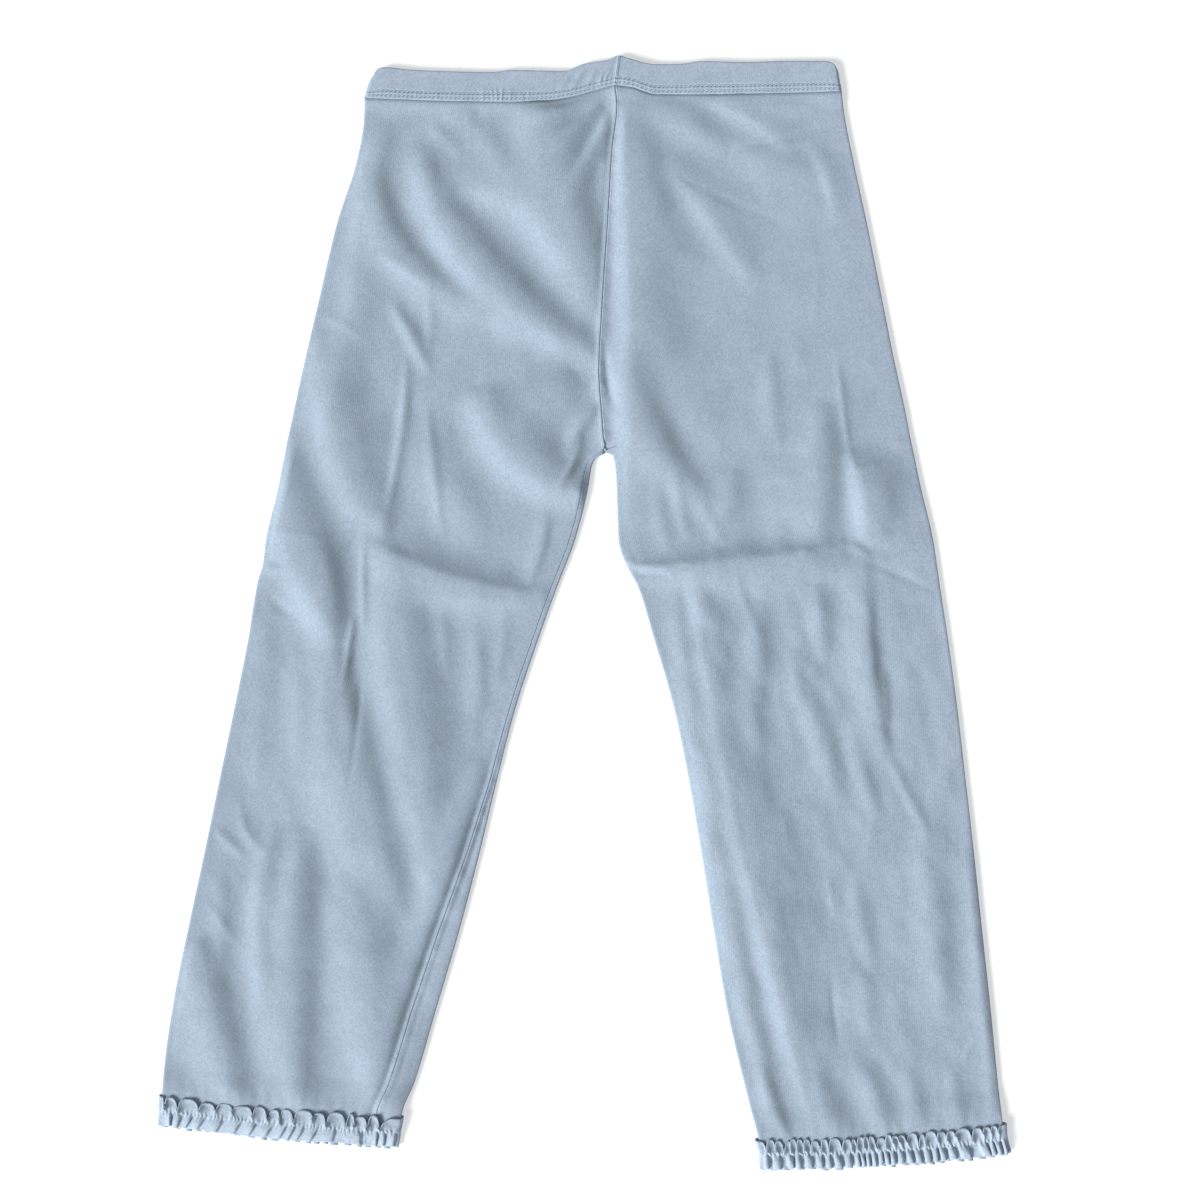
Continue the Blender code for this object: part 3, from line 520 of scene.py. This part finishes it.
def cloth_piece(name, points, cloth, material, ring=False, turned=False):
    """A grid of points as a piece with its cloth coordinates as a UV map; a ring closes each row."""
    rows, columns = points.shape[:2]
    index = np.arange(rows * columns).reshape(rows, columns)
    if ring:
        index = np.concatenate([index, index[:, :1]], axis=1)
    corners = [index[:-1, :-1], index[:-1, 1:], index[1:, 1:], index[1:, :-1]]
    if turned:
        corners.reverse()
    faces = np.stack(corners, axis=-1).reshape(-1, 4)
    piece = new_piece(name, points, faces.tolist(), material)
    layer = piece.data.uv_layers.new(name="cloth")
    layer.data.foreach_set("uv", (cloth.reshape(-1, 2)[faces.ravel()] * MM).ravel())
    return piece


def give_wall(piece, wall, offset=-1):
    """Solidify the sheet into cloth of that wall, inwards, or to both sides for an offset of 0."""
    modifier = piece.modifiers.new("wall", "SOLIDIFY")
    modifier.thickness = wall * MM
    modifier.offset = offset
    modifier.use_rim = True


# Single jersey of cotton and elastane, piece dyed: fine wales down the leg and a faint mottled tone.
# The wales, 0.7 mm apart on the real cloth, are drawn 1.1 mm apart so that they show.
LEG_DARK = "#909fae"
LEG_LIGHT = "#a1b0c0"
LEG_WALES = 0.24
FLECK_SCALE = 760  # flecks and fuzz of about 1 mm
FUZZ_SCALE = 900
MOTTLE_SCALE = 55  # patches of 18 mm
WALE_SCALE = 290  # bands 1.1 mm apart
FUZZ_SHARE = 0.72  # of the relief
MOTTLE_SHARE = 0.25  # of the tone
BUMP_HEIGHT = 0.0004  # metres


def jersey(name, dark, light, wale_depth):
    """Matt knitted cotton: wales from a wave across the cloth, broken by noise, over a mottled colour."""
    material, tree, shader = new_material(name, Roughness=0.86, Specular_IOR_Level=0.25, Sheen_Weight=0.12,
                                          Sheen_Roughness=0.5)
    place = add_node(tree, "TexCoord")
    fleck = add_node(tree, "TexNoise", {
        "Vector": place.outputs["Object"], "Scale": FLECK_SCALE, "Detail": 3, "Roughness": 0.65})
    mottle = add_node(tree, "TexNoise", {
        "Vector": place.outputs["Object"], "Scale": MOTTLE_SCALE, "Detail": 3})
    both = add_node(tree, "Mix", {
        "Factor": MOTTLE_SHARE, "A": fleck.outputs["Fac"], "B": mottle.outputs["Fac"]}, data_type="FLOAT")
    spread = add_node(tree, "MapRange", {
        "Value": both.outputs["Result"], "From Min": 0.39, "From Max": 0.61})
    tone = add_node(tree, "Mix", {
        "Factor": spread.outputs["Result"], "A": linear(dark), "B": linear(light)}, data_type="RGBA")
    tree.links.new(tone.outputs["Result"], shader.inputs["Base Color"])
    stretch = add_node(tree, "Mapping", {
        "Vector": place.outputs["UV"], "Scale": (1, 0.55, 1)})
    wale = add_node(tree, "TexWave", {
        "Vector": stretch.outputs["Vector"], "Scale": WALE_SCALE, "Distortion": 2.2, "Detail": 2,
        "Detail Scale": 1.4}, wave_type="BANDS", bands_direction="X")
    fuzz = add_node(tree, "TexNoise", {
        "Vector": place.outputs["Object"], "Scale": FUZZ_SCALE, "Detail": 2})
    knit = add_node(tree, "Mix", {
        "Factor": FUZZ_SHARE, "A": wale.outputs["Fac"], "B": fuzz.outputs["Fac"]}, data_type="FLOAT")
    bump = add_node(tree, "Bump", {
        "Height": knit.outputs["Result"], "Strength": wale_depth, "Distance": BUMP_HEIGHT})
    tree.links.new(bump.outputs["Normal"], shader.inputs["Normal"])
    return material


leg_jersey = jersey("cotton_jersey", LEG_DARK, LEG_LIGHT, LEG_WALES)
for side, *leg_tables in (("left", LEFT_LEG, LEFT_CREASES, LEFT_WRINKLES, 11),
                          ("right", RIGHT_LEG, RIGHT_CREASES, RIGHT_WRINKLES, 31)):
    points, cloth = leg_surface(side, *leg_tables)
    leg = cloth_piece(f"leg_panel_{side}", points, cloth, leg_jersey)
    give_wall(leg, CLOTH_WALL)
    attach(leg, "root")
    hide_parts(f"leg_{side}")

# ------------ waist casing
# The waist is a casing: the jersey turned down over 15 mm elastic and held by a coverstitch, which
# shows on the face as two rows of straight stitches, 2.5 mm apart and 2.5 mm long, each sunk at both
# ends. It is a closed band in two halves, joined by a raised seam at the centre.
CASING_WALL = 2
CASING_HEIGHT = 4.4
CASING_LONG = 17  # from its seam with the legs to its top edge
CASING_TURN = 2.5  # depth of the fold at each side, seen from above
FOLD_LENGTH = 7.8  # way round that fold
CASING_TOP_ROUND = 0.9  # of its face's two long edges
CASING_LOW_ROUND = 0.25
CASING_STEP = 0.42  # between its columns, with points up its face, inside and round each edge
FACE_POINTS = 48
INSIDE_POINTS = 9
ROUND_POINTS = 5
TOP_LINE = (
    (-123.5, 312.6), (-120.5, 315.8), (-117.5, 316.7), (-101, 315.2), (-83, 314.4), (-54, 313.8),
    (-43, 315), (-13, 314.4), (-0.3, 318.8), (12, 320.7), (19.6, 323.4), (25, 321.9), (41, 318.4),
    (52.5, 318.4), (69, 320.2), (91.4, 319.6), (118.6, 320.3), (138.9, 320.3), (143.4, 319), (146.2, 316.4),
)
# The halves' ends at the side folds and at the centre, at these shares of the way up.
CASING_SHARES = (0, 0.12, 0.5, 0.88, 1)
CASING_SIDES = {"left": (-128.5, -128.2, -126.9, -124.6, -122.9),
                "right": (148.8, 148.6, 147.7, 146.8, 145.9)}
CASING_CENTRE = (17.2, 17.5, 18.3, 19.3, 19.6)
STITCH_ROWS = (1.9, 4.4)  # how far up the casing
STITCH_PITCH = 2.5
STITCH_THICK = 0.42
STITCH_SPAN = 0.42  # half a thread's length against the pitch
STITCH_DIP = 0.34  # how far its ends go down into the cloth
STITCH_PROUD = 0.1  # how far its middle stands above the groove
THREAD_REACH = (-1, -0.55, 0.55, 1)  # a thread's rings, from end to end
THREAD_SLIM = (0.45, 1, 1, 0.45)  # and how thick they are
THREAD_SIDES = 6
# What the stitches do to the cloth: a groove for each row with a dimple under each thread, a ridge between
# the rows and a sunk lower edge, each with its height, its middle up the casing and its width, and behind
# a groove that keeps the threads off the surface.
GROOVE_DEPTH = 0.06
DIMPLE_DEPTH = 0.75
DIMPLE_WIDTH = 0.5
RIDGE = (0.12, 3.15, 0.8)
LOW_EDGE = (0.22, 0, 0.9)
UNDER_GROOVE = 0.17
UNDER_GROOVE_WIDTH = 0.7
FACE_DEPTH = 0.5  # how deep into the wall the face's relief reaches
CENTRE_RIDGE = 0.55
CENTRE_RIDGE_WIDTH = 0.8
# Noise of its face: height, size along and up the band, seed.
CASING_RIPPLES = ((0.16, 9, 30, 71), (0.12, 16, 9, 72))
# Short pleats across the stitches and soft wrinkles above them: x, way up, widths, height, lean.
CASING_FOLDS = (
    (-59.5, 3, 0.9, 3.4, 0.3, 0), (-56.8, 3, 0.8, 3, 0.26, 0), (-54.4, 3.2, 0.8, 3.2, 0.3, 0),
    (-51.6, 3.4, 0.8, 3.6, 0.34, 0), (-48.6, 3.6, 0.9, 3.8, 0.3, 0.1), (-43.6, 3.4, 0.9, 2.8, 0.16, 0),
    (-37, 3, 0.9, 2.6, 0.14, 0), (-32.8, 3, 0.9, 2.4, 0.12, 0), (-86, 3, 1, 2.4, 0.12, 0),
    (-98, 2.6, 1, 2.4, 0.1, 0), (-13, 8, 2.2, 4.5, 0.34, 0.6), (-5, 8.5, 2.4, 5, 0.4, 0.7),
    (3, 7, 1.8, 4, 0.42, 0.6), (8.8, 5, 1, 3.2, 0.6, 0.3), (12, 6, 1.2, 3.4, 0.45, 0.5),
    (24, 5, 1.8, 4, 0.22, 0.4), (31, 4, 1.6, 3.4, 0.2, 0.4), (52, 3, 1.2, 2.6, 0.12, 0),
    (71, 3.2, 1.2, 2.6, 0.12, 0), (88, 9, 3, 5, 0.14, 0.1), (104, 3.2, 1.2, 2.8, 0.12, 0),
)


def casing_length(side):
    """Length of a casing half from its side fold to the centre seam, half way up."""
    return abs(CASING_CENTRE[2] - CASING_SIDES[side][2]) - SEAM_GAP / 2


def casing_place(side, share, at, angle, depth, path):
    """Points of a casing half: share up the band, at along it from its side fold, depth below its face.

    The angle turns from the face, 0, round the side fold to the underside, pi. The path is the way along
    the band from its centre seam, which spaces the dimples under the threads.
    """
    outer_x = through_points(CASING_SHARES, CASING_SIDES[side], share)
    centre_x = through_points(CASING_SHARES, CASING_CENTRE, share)
    inner_x = centre_x - np.sign(centre_x - outer_x) * SEAM_GAP / 2
    x = outer_x + (inner_x - outer_x) * at / casing_length(side)
    low = through_points(*np.array(WAIST_LINE).T, x) + SEAM_GAP / 2
    y = low + (through_points(*np.array(TOP_LINE).T, x) - low) * share
    up = CASING_LONG * share

    ripple = sum(tall * soft_noise(x, y, along, high, seed) for tall, along, high, seed in CASING_RIPPLES)
    for fold_x, fold_up, wide, long, tall, lean in CASING_FOLDS:
        ripple = ripple + tall * np.exp(-((x - fold_x - lean * (up - fold_up)) / wide) ** 2
                                        - ((up - fold_up) / long) ** 2)
    ripple = ripple + CENTRE_RIDGE * bell(x, centre_x, CENTRE_RIDGE_WIDTH)
    from_dimple = np.abs((path / STITCH_PITCH) % 1 - 0.5) * STITCH_PITCH - STITCH_PITCH / 2
    dimple = GROOVE_DEPTH + DIMPLE_DEPTH * bell(from_dimple, 0, DIMPLE_WIDTH)
    groove = sum(bell(up, row, DIMPLE_WIDTH) * dimple for row in STITCH_ROWS)
    sink = groove + LOW_EDGE[0] * bell(up, *LOW_EDGE[1:]) - RIDGE[0] * bell(up, *RIDGE[1:])
    near_face = ease(1 - depth / FACE_DEPTH)
    height = CASING_HEIGHT + (ripple - sink) * near_face
    sunk = UNDER_GROOVE * sum(bell(up, row, UNDER_GROOVE_WIDTH) for row in STITCH_ROWS) * near_face
    z = height / 2 + (height / 2 - depth) * np.cos(angle) + sunk * (1 - np.cos(angle))
    return np.stack([x, y, z], axis=-1)


def casing_band(side):
    """A casing half: a closed profile carried from its centre seam along the front, round the side fold
    and back along the underside."""
    top, low = CASING_TOP_ROUND, CASING_LOW_ROUND
    bend = np.linspace(0, math.pi / 2, ROUND_POINTS)
    up = np.concatenate([
        np.linspace(low, CASING_LONG - top, FACE_POINTS), CASING_LONG - top + top * np.sin(bend[1:]),
        CASING_LONG - top + top * np.cos(bend[1:-1]), np.linspace(CASING_LONG - top, low, INSIDE_POINTS),
        low - low * np.sin(bend[1:]), low - low * np.cos(bend[1:-1])])
    depth = np.concatenate([
        np.zeros(FACE_POINTS), top - top * np.cos(bend[1:]), CASING_WALL - top + top * np.sin(bend[1:-1]),
        np.full(INSIDE_POINTS, CASING_WALL), CASING_WALL - low + low * np.cos(bend[1:]),
        low - low * np.sin(bend[1:-1])])
    length = casing_length(side)
    columns = int(length / CASING_STEP)
    turn = np.linspace(0, math.pi, 9)[1:-1]
    along = np.concatenate([np.linspace(length, CASING_TURN, columns), np.full(len(turn), CASING_TURN),
                            np.linspace(CASING_TURN, length, columns // 2)])
    angle = np.concatenate([np.zeros(columns), turn, np.full(columns // 2, math.pi)])
    at = along[:, None] - (CASING_TURN - depth) * np.sin(angle)[:, None]
    path = np.where(angle < math.pi / 2, length - along, length + along - 2 * CASING_TURN)
    path = (path + FOLD_LENGTH * (angle / math.pi))[:, None]
    share, depth = np.broadcast_to(up / CASING_LONG, at.shape), np.broadcast_to(depth, at.shape)
    points = casing_place(side, share, at, angle[:, None], depth, path)
    around = np.cumsum(np.abs(np.diff(up, prepend=0)))
    return points, np.stack([path + 0 * at, around + 0 * at], axis=-1)


def stitch_row(side, row):
    """One row of stitches of a casing half: a small thread over each dimple.

    A thread has four rings of points, of which the end ones are small and dip into the cloth.
    """
    length = casing_length(side)
    front = length - CASING_TURN
    count = int((2 * front + FOLD_LENGTH) / STITCH_PITCH) - 1
    middle = (1 + np.arange(count))[:, None, None] * STITCH_PITCH
    reach = np.array(THREAD_REACH)[None, :, None]
    slim = np.array(THREAD_SLIM)[None, :, None] * STITCH_THICK / 2
    turn = np.linspace(0, math.tau, THREAD_SIDES + 1)[None, None, :-1]
    path = middle + reach * STITCH_SPAN * STITCH_PITCH + 0 * turn
    stops = [0, front, front + FOLD_LENGTH, 2 * front + FOLD_LENGTH]
    along = np.interp(path, stops, [length, CASING_TURN, CASING_TURN, length])
    angle = np.interp(path, stops, [0, 0, math.pi, math.pi])
    depth = STITCH_DIP * reach ** 4 - STITCH_PROUD - slim * np.sin(turn) + 0 * path
    share = (row + slim * np.cos(turn)) / CASING_LONG + 0 * path
    at = along - (CASING_TURN - depth) * np.sin(angle)
    # a thread bridges its dimple: its height is the cloth's half a pitch on
    level_path = middle - STITCH_PITCH / 2 + 0 * path
    return casing_place(side, share, at, angle, depth, level_path)


def close_up(piece, rings=()):
    """Fill these rings of a piece's vertices with a face each, and point all its faces outwards."""
    work = bmesh.new()
    work.from_mesh(piece.data)
    work.verts.ensure_lookup_table()
    for ring in rings:
        work.faces.new([work.verts[i] for i in ring])
    bmesh.ops.recalc_face_normals(work, faces=work.faces[:])
    work.to_mesh(piece.data)
    work.free()


def thread_piece(name, rows, material):
    """Separate threads, each of a few rings of points with a cap at both ends, as one mesh."""
    rings = np.concatenate(rows)
    each = len(THREAD_REACH)
    index = np.arange(len(rings) * each * THREAD_SIDES).reshape(-1, each, THREAD_SIDES)
    wide = np.concatenate([index, index[..., :1]], axis=-1)
    quads = np.stack([wide[:, :-1, :-1], wide[:, :-1, 1:], wide[:, 1:, 1:], wide[:, 1:, :-1]], axis=-1)
    caps = np.concatenate([index[:, 0, ::-1], index[:, -1]])
    piece = new_piece(name, rings, quads.reshape(-1, 4).tolist() + caps.tolist(), material)
    close_up(piece)
    return piece


casing_jersey = jersey("casing_jersey", "#95a4b3", "#a6b5c5", 0.2)
# Spun polyester sewing thread, in the cloth's own colour: a little smoother than the knit.
thread, _, _ = new_material("sewing_thread", Roughness=0.6, Base_Color=linear("#a4b2c2"))
for side in ("left", "right"):
    points, cloth = casing_band(side)
    band = cloth_piece(f"casing_{side}", points, cloth, casing_jersey, ring=True)
    around = points.shape[1]
    total = len(band.data.vertices)
    close_up(band, (range(around), range(total - around, total)))
    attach(band, "root")
    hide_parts(f"waistband_{side}")
    stitches = thread_piece(f"casing_stitches_{side}", [stitch_row(side, row) for row in STITCH_ROWS], thread)
    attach(stitches, "root")
    leg = bpy.data.objects[f"leg_panel_{side}"]

# ------------ ruffles
# A 20 mm strip of the jersey goes round each hem, gathered along its middle to about three quarters of
# its length and stitched there, so both raw edges stand out in frills: one up the leg, one past the hem.
RUFFLE_WALL = 0.7
RUFFLE_TURN = 2.2
RUFFLE_LINE = 5  # height of the cloth's middle at the stitching
# Each ruffle's ends at the side fold and at the inseam: x and y of the stitching, x of both free edges.
STITCHING = {"left": (-247.8, -288.3, -107.3, -301), "right": (244.9, -304.8, 100.8, -314)}
UPPER_EDGE = {"left": (-247.2, -105.4), "right": (243.8, 98.9)}
LOWER_EDGE = {"left": (-248.2, -108.8), "right": (247.4, 101.7)}
FRILL_ROWS = 11
FRONT_COLUMNS = 500
BACK_COLUMNS = 230
BACK_WAVES = 22

# Crests of the upper frill's waves, where its free edge comes forward: the place along the hem, and how
# far up the leg from the stitching the edge stands there. Between them it stands back at the full width.
UPPER_WAVES = {
    "left": (
        (-244.2, 0.8), (-236.1, -1), (-224, 2.2), (-214.9, 4.2), (-205.3, 4.4), (-193, 1.6), (-184.6, 0.8),
        (-178, -1.2), (-170, 0.4), (-158.9, 4.4), (-150.6, -0.6), (-139.8, 0.2), (-135, 1), (-127.4, -1.6),
        (-119.6, -0.4),
    ),
    "right": (
        (239.5, 4.5), (235.4, 5), (231, 5.2), (225, 0.2), (215.8, 5.6), (210.5, 3), (204.9, 3), (197.6, 1),
        (193.5, -0.5), (187.5, 4.5), (183.6, 5), (179.7, 4.5), (175.3, 0.4), (169.8, 1.5), (165.8, 1),
        (162.4, 2.5), (158.3, 1.5), (155, 0.5), (149.4, 1.5), (141.9, 0), (137.4, 0.5), (132.6, 0),
        (128.6, 1.5), (124.6, 0), (119.9, 0.5), (116, -0.5), (111.9, 1), (106.7, 0.5),
    ),
}
# Crests of the lower frill's waves: the place along the hem, and how far the pleat leans to the right.
LOWER_WAVES = {
    "left": (
        (-242.2, 0), (-237, -1.2), (-229.8, -2.6), (-224, -3.2), (-214.4, -3), (-202.9, -3), (-194.2, -2.6),
        (-185.1, -3.2), (-175.2, -3), (-170.2, -2.4), (-165.1, -2.4), (-158.2, -3), (-149.1, -2.4),
        (-137.3, 1.6), (-122, 0), (-117.4, 0), (-112.5, 0),
    ),
    "right": (
        (242, 0), (238.4, 0), (234.6, 0.6), (230.2, 1.6), (218.3, 0), (211.1, 0.4), (205.9, 0), (202, -0.4),
        (197.4, -0.6), (191.9, 0), (187, 0), (182.1, -0.8), (177.4, -0.4), (173.8, 0), (170.6, -0.8),
        (166.2, 0), (163, -0.4), (159.9, 0), (156.8, 0), (151.8, -0.6), (145.3, 0.4), (139.9, 0),
        (135.4, -0.6), (128.9, -0.8), (122.4, -0.4), (118.2, 0.3), (110.4, -0.8), (104.4, -0.4),
    ),
}
# The upper frill: a ribbon that meanders between crests and hollows.
UPPER_BREADTH = 8.7  # of its hollows, up the leg
UPPER_CREST = 1.5  # power that narrows the crests
UPPER_SWING = 0.17  # how far it swings along the hem, in wave lengths
UPPER_SLANT = 1.4  # most that a wave leans to a side
UPPER_RIM = (0.4, 0.13)  # rolled raw edge: height, and share of the frill
# The lower frill: knife pleats on the left ruffle, bells on the right one.
LOWER_BREADTH = 9
LOWER_FORM = {"left": {"hollow": -2.5, "lean": 1.5, "swing": 0},
              "right": {"hollow": -3, "lean": 1, "swing": 0.10}}
PLEAT = ((0, 0.8, 0.88, 1), (0.12, 0.82, 0.8, 0.12))  # phases and heights
BELL_CROWN = 0.9  # how square the bells are
# Both frills behind: plain waves of random length.
BACK_HEIGHT = 0.75
BACK_UPPER = 8.8
BACK_LOWER = 9.6
WAVE_SPREAD = (0.6, 1.4)
# Puckers across the stitching, which reach that share of a frill.
GATHER_HEIGHT = 0.32
GATHER_LENGTH = 2.3
GATHER_REACH = 0.2


def wave_phase(crests, at, start, end):
    """How many waves lie before each place: a half more at a crest, and a wave's length there."""
    knots = np.concatenate([[start], crests, [end]])
    phases = np.concatenate([[0], np.arange(len(crests)) + 0.5, [float(len(crests))]])
    phase = through_points(knots, phases, at)
    pitch = np.gradient(at) / np.gradient(phase)
    return phase, np.clip(pitch, 2, 16)


def wave_values(chance, phase, count, spread=1):
    """A random value at each whole phase, from -spread to spread, and straight between them."""
    return np.interp(phase, np.arange(count + 1), chance.uniform(-spread, spread, count + 1))


def crest_places(waves, start_x):
    """Each crest's way along the hem from the side fold, in order, and its second value."""
    crest_x, value = np.array(waves).T
    place = np.abs(crest_x - start_x)
    order = np.argsort(place)
    return place[order], value[order]


def upper_frill(side, front, start, end, up, chance):
    """How far the front's upper frill lies from the stitching line: along it, out from it and in height.

    Up is 0 at the stitching and 1 at the free edge. Crests stand high, and hollows lie up the leg.
    """
    places, near = crest_places(UPPER_WAVES[side], STITCHING[side][0])
    count = len(near)
    phase, pitch = wave_phase(places, front, start, end)
    crest = (0.5 - 0.5 * np.cos(math.tau * phase)) ** UPPER_CREST
    near_at = np.interp(front, places, near)
    tall = wave_values(chance, phase, count)
    far = 1 + 0.1 * wave_values(chance, phase, count)
    slant = wave_values(chance, phase, count, UPPER_SLANT)
    along = pitch * UPPER_SWING * np.sin(math.tau * phase) * up ** 0.8 + slant * up
    out = far * UPPER_BREADTH * up * (1 - crest) + (near_at * up + 1.7 * np.sin(math.pi * up)) * crest
    rim_height, rim_width = UPPER_RIM
    high = ((1 - crest) * (0.2 * tall - 0.1) * up + crest * (1.9 + 0.5 * tall) * np.sin(0.75 * math.pi * up)
            + rim_height * bell(up, 1, rim_width) * (1 - 0.5 * crest))
    return along, out, high


def lower_frill(side, front, start, end, down, way, chance):
    """The same for the front's lower frill, past the hem. Its way in x is 1 or -1."""
    places, lean = crest_places(LOWER_WAVES[side], STITCHING[side][0])
    count = len(lean)
    form = LOWER_FORM[side]
    phase, pitch = wave_phase(places, front, start, end)
    if side == "left":
        crest = ease(np.interp((phase * way) % 1, *PLEAT))
    else:
        crest = 0.5 - 0.5 * np.tanh(BELL_CROWN * np.cos(math.tau * phase)) / math.tanh(BELL_CROWN)
    lean_at = np.interp(front, places, lean) * way * form["lean"]
    tall = wave_values(chance, phase, count)
    reach = wave_values(chance, phase, count)
    along = form["swing"] * pitch * np.sin(4 * math.pi * phase) * down ** 0.7 + lean_at * down
    out = -(LOWER_BREADTH + 0.5 * reach - 0.5 * crest) * down
    high = ((1 - crest) * form["hollow"] * down ** 0.5
            + crest * ((0.9 + 0.4 * tall) * np.sin(math.pi * down) - 1 * down ** 2))
    return along, out, high


def back_frills(back, start, end, free, up, down, chance):
    """Both frills behind: way along the hem, out from the stitching line and height."""
    place = np.concatenate([[start], start + np.cumsum(chance.uniform(*WAVE_SPREAD, BACK_WAVES))])
    place = start + (place - start) * (end - start) / (place[-1] - start)
    phase = np.interp(back, place, np.arange(BACK_WAVES + 1))
    beat = np.sin(math.tau * phase)
    reach = wave_values(chance, phase, BACK_WAVES)
    along = back - 0.9 * np.sin(4 * math.pi * phase) * np.abs(free)
    out = BACK_UPPER * up - (BACK_LOWER + 0.9 * reach + 0.5 * beat) * down
    high = BACK_HEIGHT + 0.3 * beat * up + (1 + 1.1 * beat) * down
    return along, out, high


def frill_points(side, seed):
    """Middle of a ruffle's cloth as closed rings from its upper free edge to its lower one.

    Each ring crosses the front, turns round the inseam, comes back behind and turns round the side fold.
    """
    chance = np.random.default_rng(seed)
    line = STITCHING[side]
    width = math.hypot(line[2] - line[0], line[3] - line[1])
    way = math.copysign(1, line[2] - line[0])
    start, end = RUFFLE_TURN, width - RUFFLE_TURN
    front = np.linspace(start, end, FRONT_COLUMNS)
    back = np.linspace(end, start, BACK_COLUMNS)
    free = np.concatenate([np.linspace(1, 0.07, FRILL_ROWS), [0],
                           np.linspace(-0.07, -1, FRILL_ROWS)])[:, None]
    up, down = np.maximum(free, 0), np.maximum(-free, 0)
    upper = upper_frill(side, front, start, end, up, chance)
    lower = lower_frill(side, front, start, end, down, way, chance)
    behind = back_frills(back, start, end, free, up, down, chance)

    across = np.broadcast_to(front, (len(free), FRONT_COLUMNS))
    pucker = np.sin(math.tau * across / GATHER_LENGTH
                    + 2.5 * soft_noise(across, 0 * across, 4, 9, seed + 2))
    rough = soft_noise(across, 9 * free + 0 * across, 2.4, 3.2, seed + 3)
    ahead = (front + upper[0] + lower[0] + 0.25 * rough,
             upper[1] + lower[1] + 0.3 * rough * np.abs(free),
             RUFFLE_LINE + upper[2] + lower[2] + GATHER_HEIGHT * pucker * bell(free, 0, GATHER_REACH)
             + 0.4 * rough * np.abs(free) ** 0.5)

    # a half turn joins front and back at both ends
    turning = np.linspace(0, math.pi, 9)[None, 1:-1]
    swap = 0.5 - 0.5 * np.cos(turning)
    bulge = (RUFFLE_TURN * np.sin(turning), 0, 0)
    rings = []
    for p, q, b in zip(ahead, behind, bulge):
        inner = p[:, -1:] + b + (q[:, :1] - p[:, -1:]) * swap
        outer = q[:, -1:] - b + (p[:, :1] - q[:, -1:]) * swap
        rings.append(np.concatenate([p, inner, q, outer], axis=1))
    at, out, z = rings
    z = np.maximum(z, RUFFLE_WALL / 2 + 0.05)

    # onto the garment's outline, with its own ends for both free edges
    share = at / width
    x = line[0] + (line[2] - line[0]) * share
    y = line[1] + (line[3] - line[1]) * share - HEM_BOW[side] * 4 * share * (1 - share) + out
    for edge, amount in ((UPPER_EDGE[side], up), (LOWER_EDGE[side], down)):
        x = x + amount * ((edge[0] - line[0]) * (1 - share) + (edge[1] - line[2]) * share)
    points = np.stack([x, y, z], axis=-1)
    around = np.cumsum(np.linalg.norm(np.diff(points, axis=1, prepend=points[:, :1]), axis=-1), axis=1)
    return points, np.stack([around, 10 - 10 * free + 0 * around], axis=-1)


# The ruffle's jersey is drawn lighter than the legs' own: painted light for the bright curls of its frills.
ruffle_jersey = jersey("ruffle_jersey", "#9cabba", "#adbccc", 0.3)
for side, seed in (("left", 5), ("right", 6)):
    points, cloth = frill_points(side, seed)
    ruffle = cloth_piece(f"hem_ruffle_{side}", points, cloth, ruffle_jersey, ring=True, turned=side == "left")
    give_wall(ruffle, RUFFLE_WALL, offset=0)
    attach(ruffle, "root")
    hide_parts(f"ruffle_{side}")
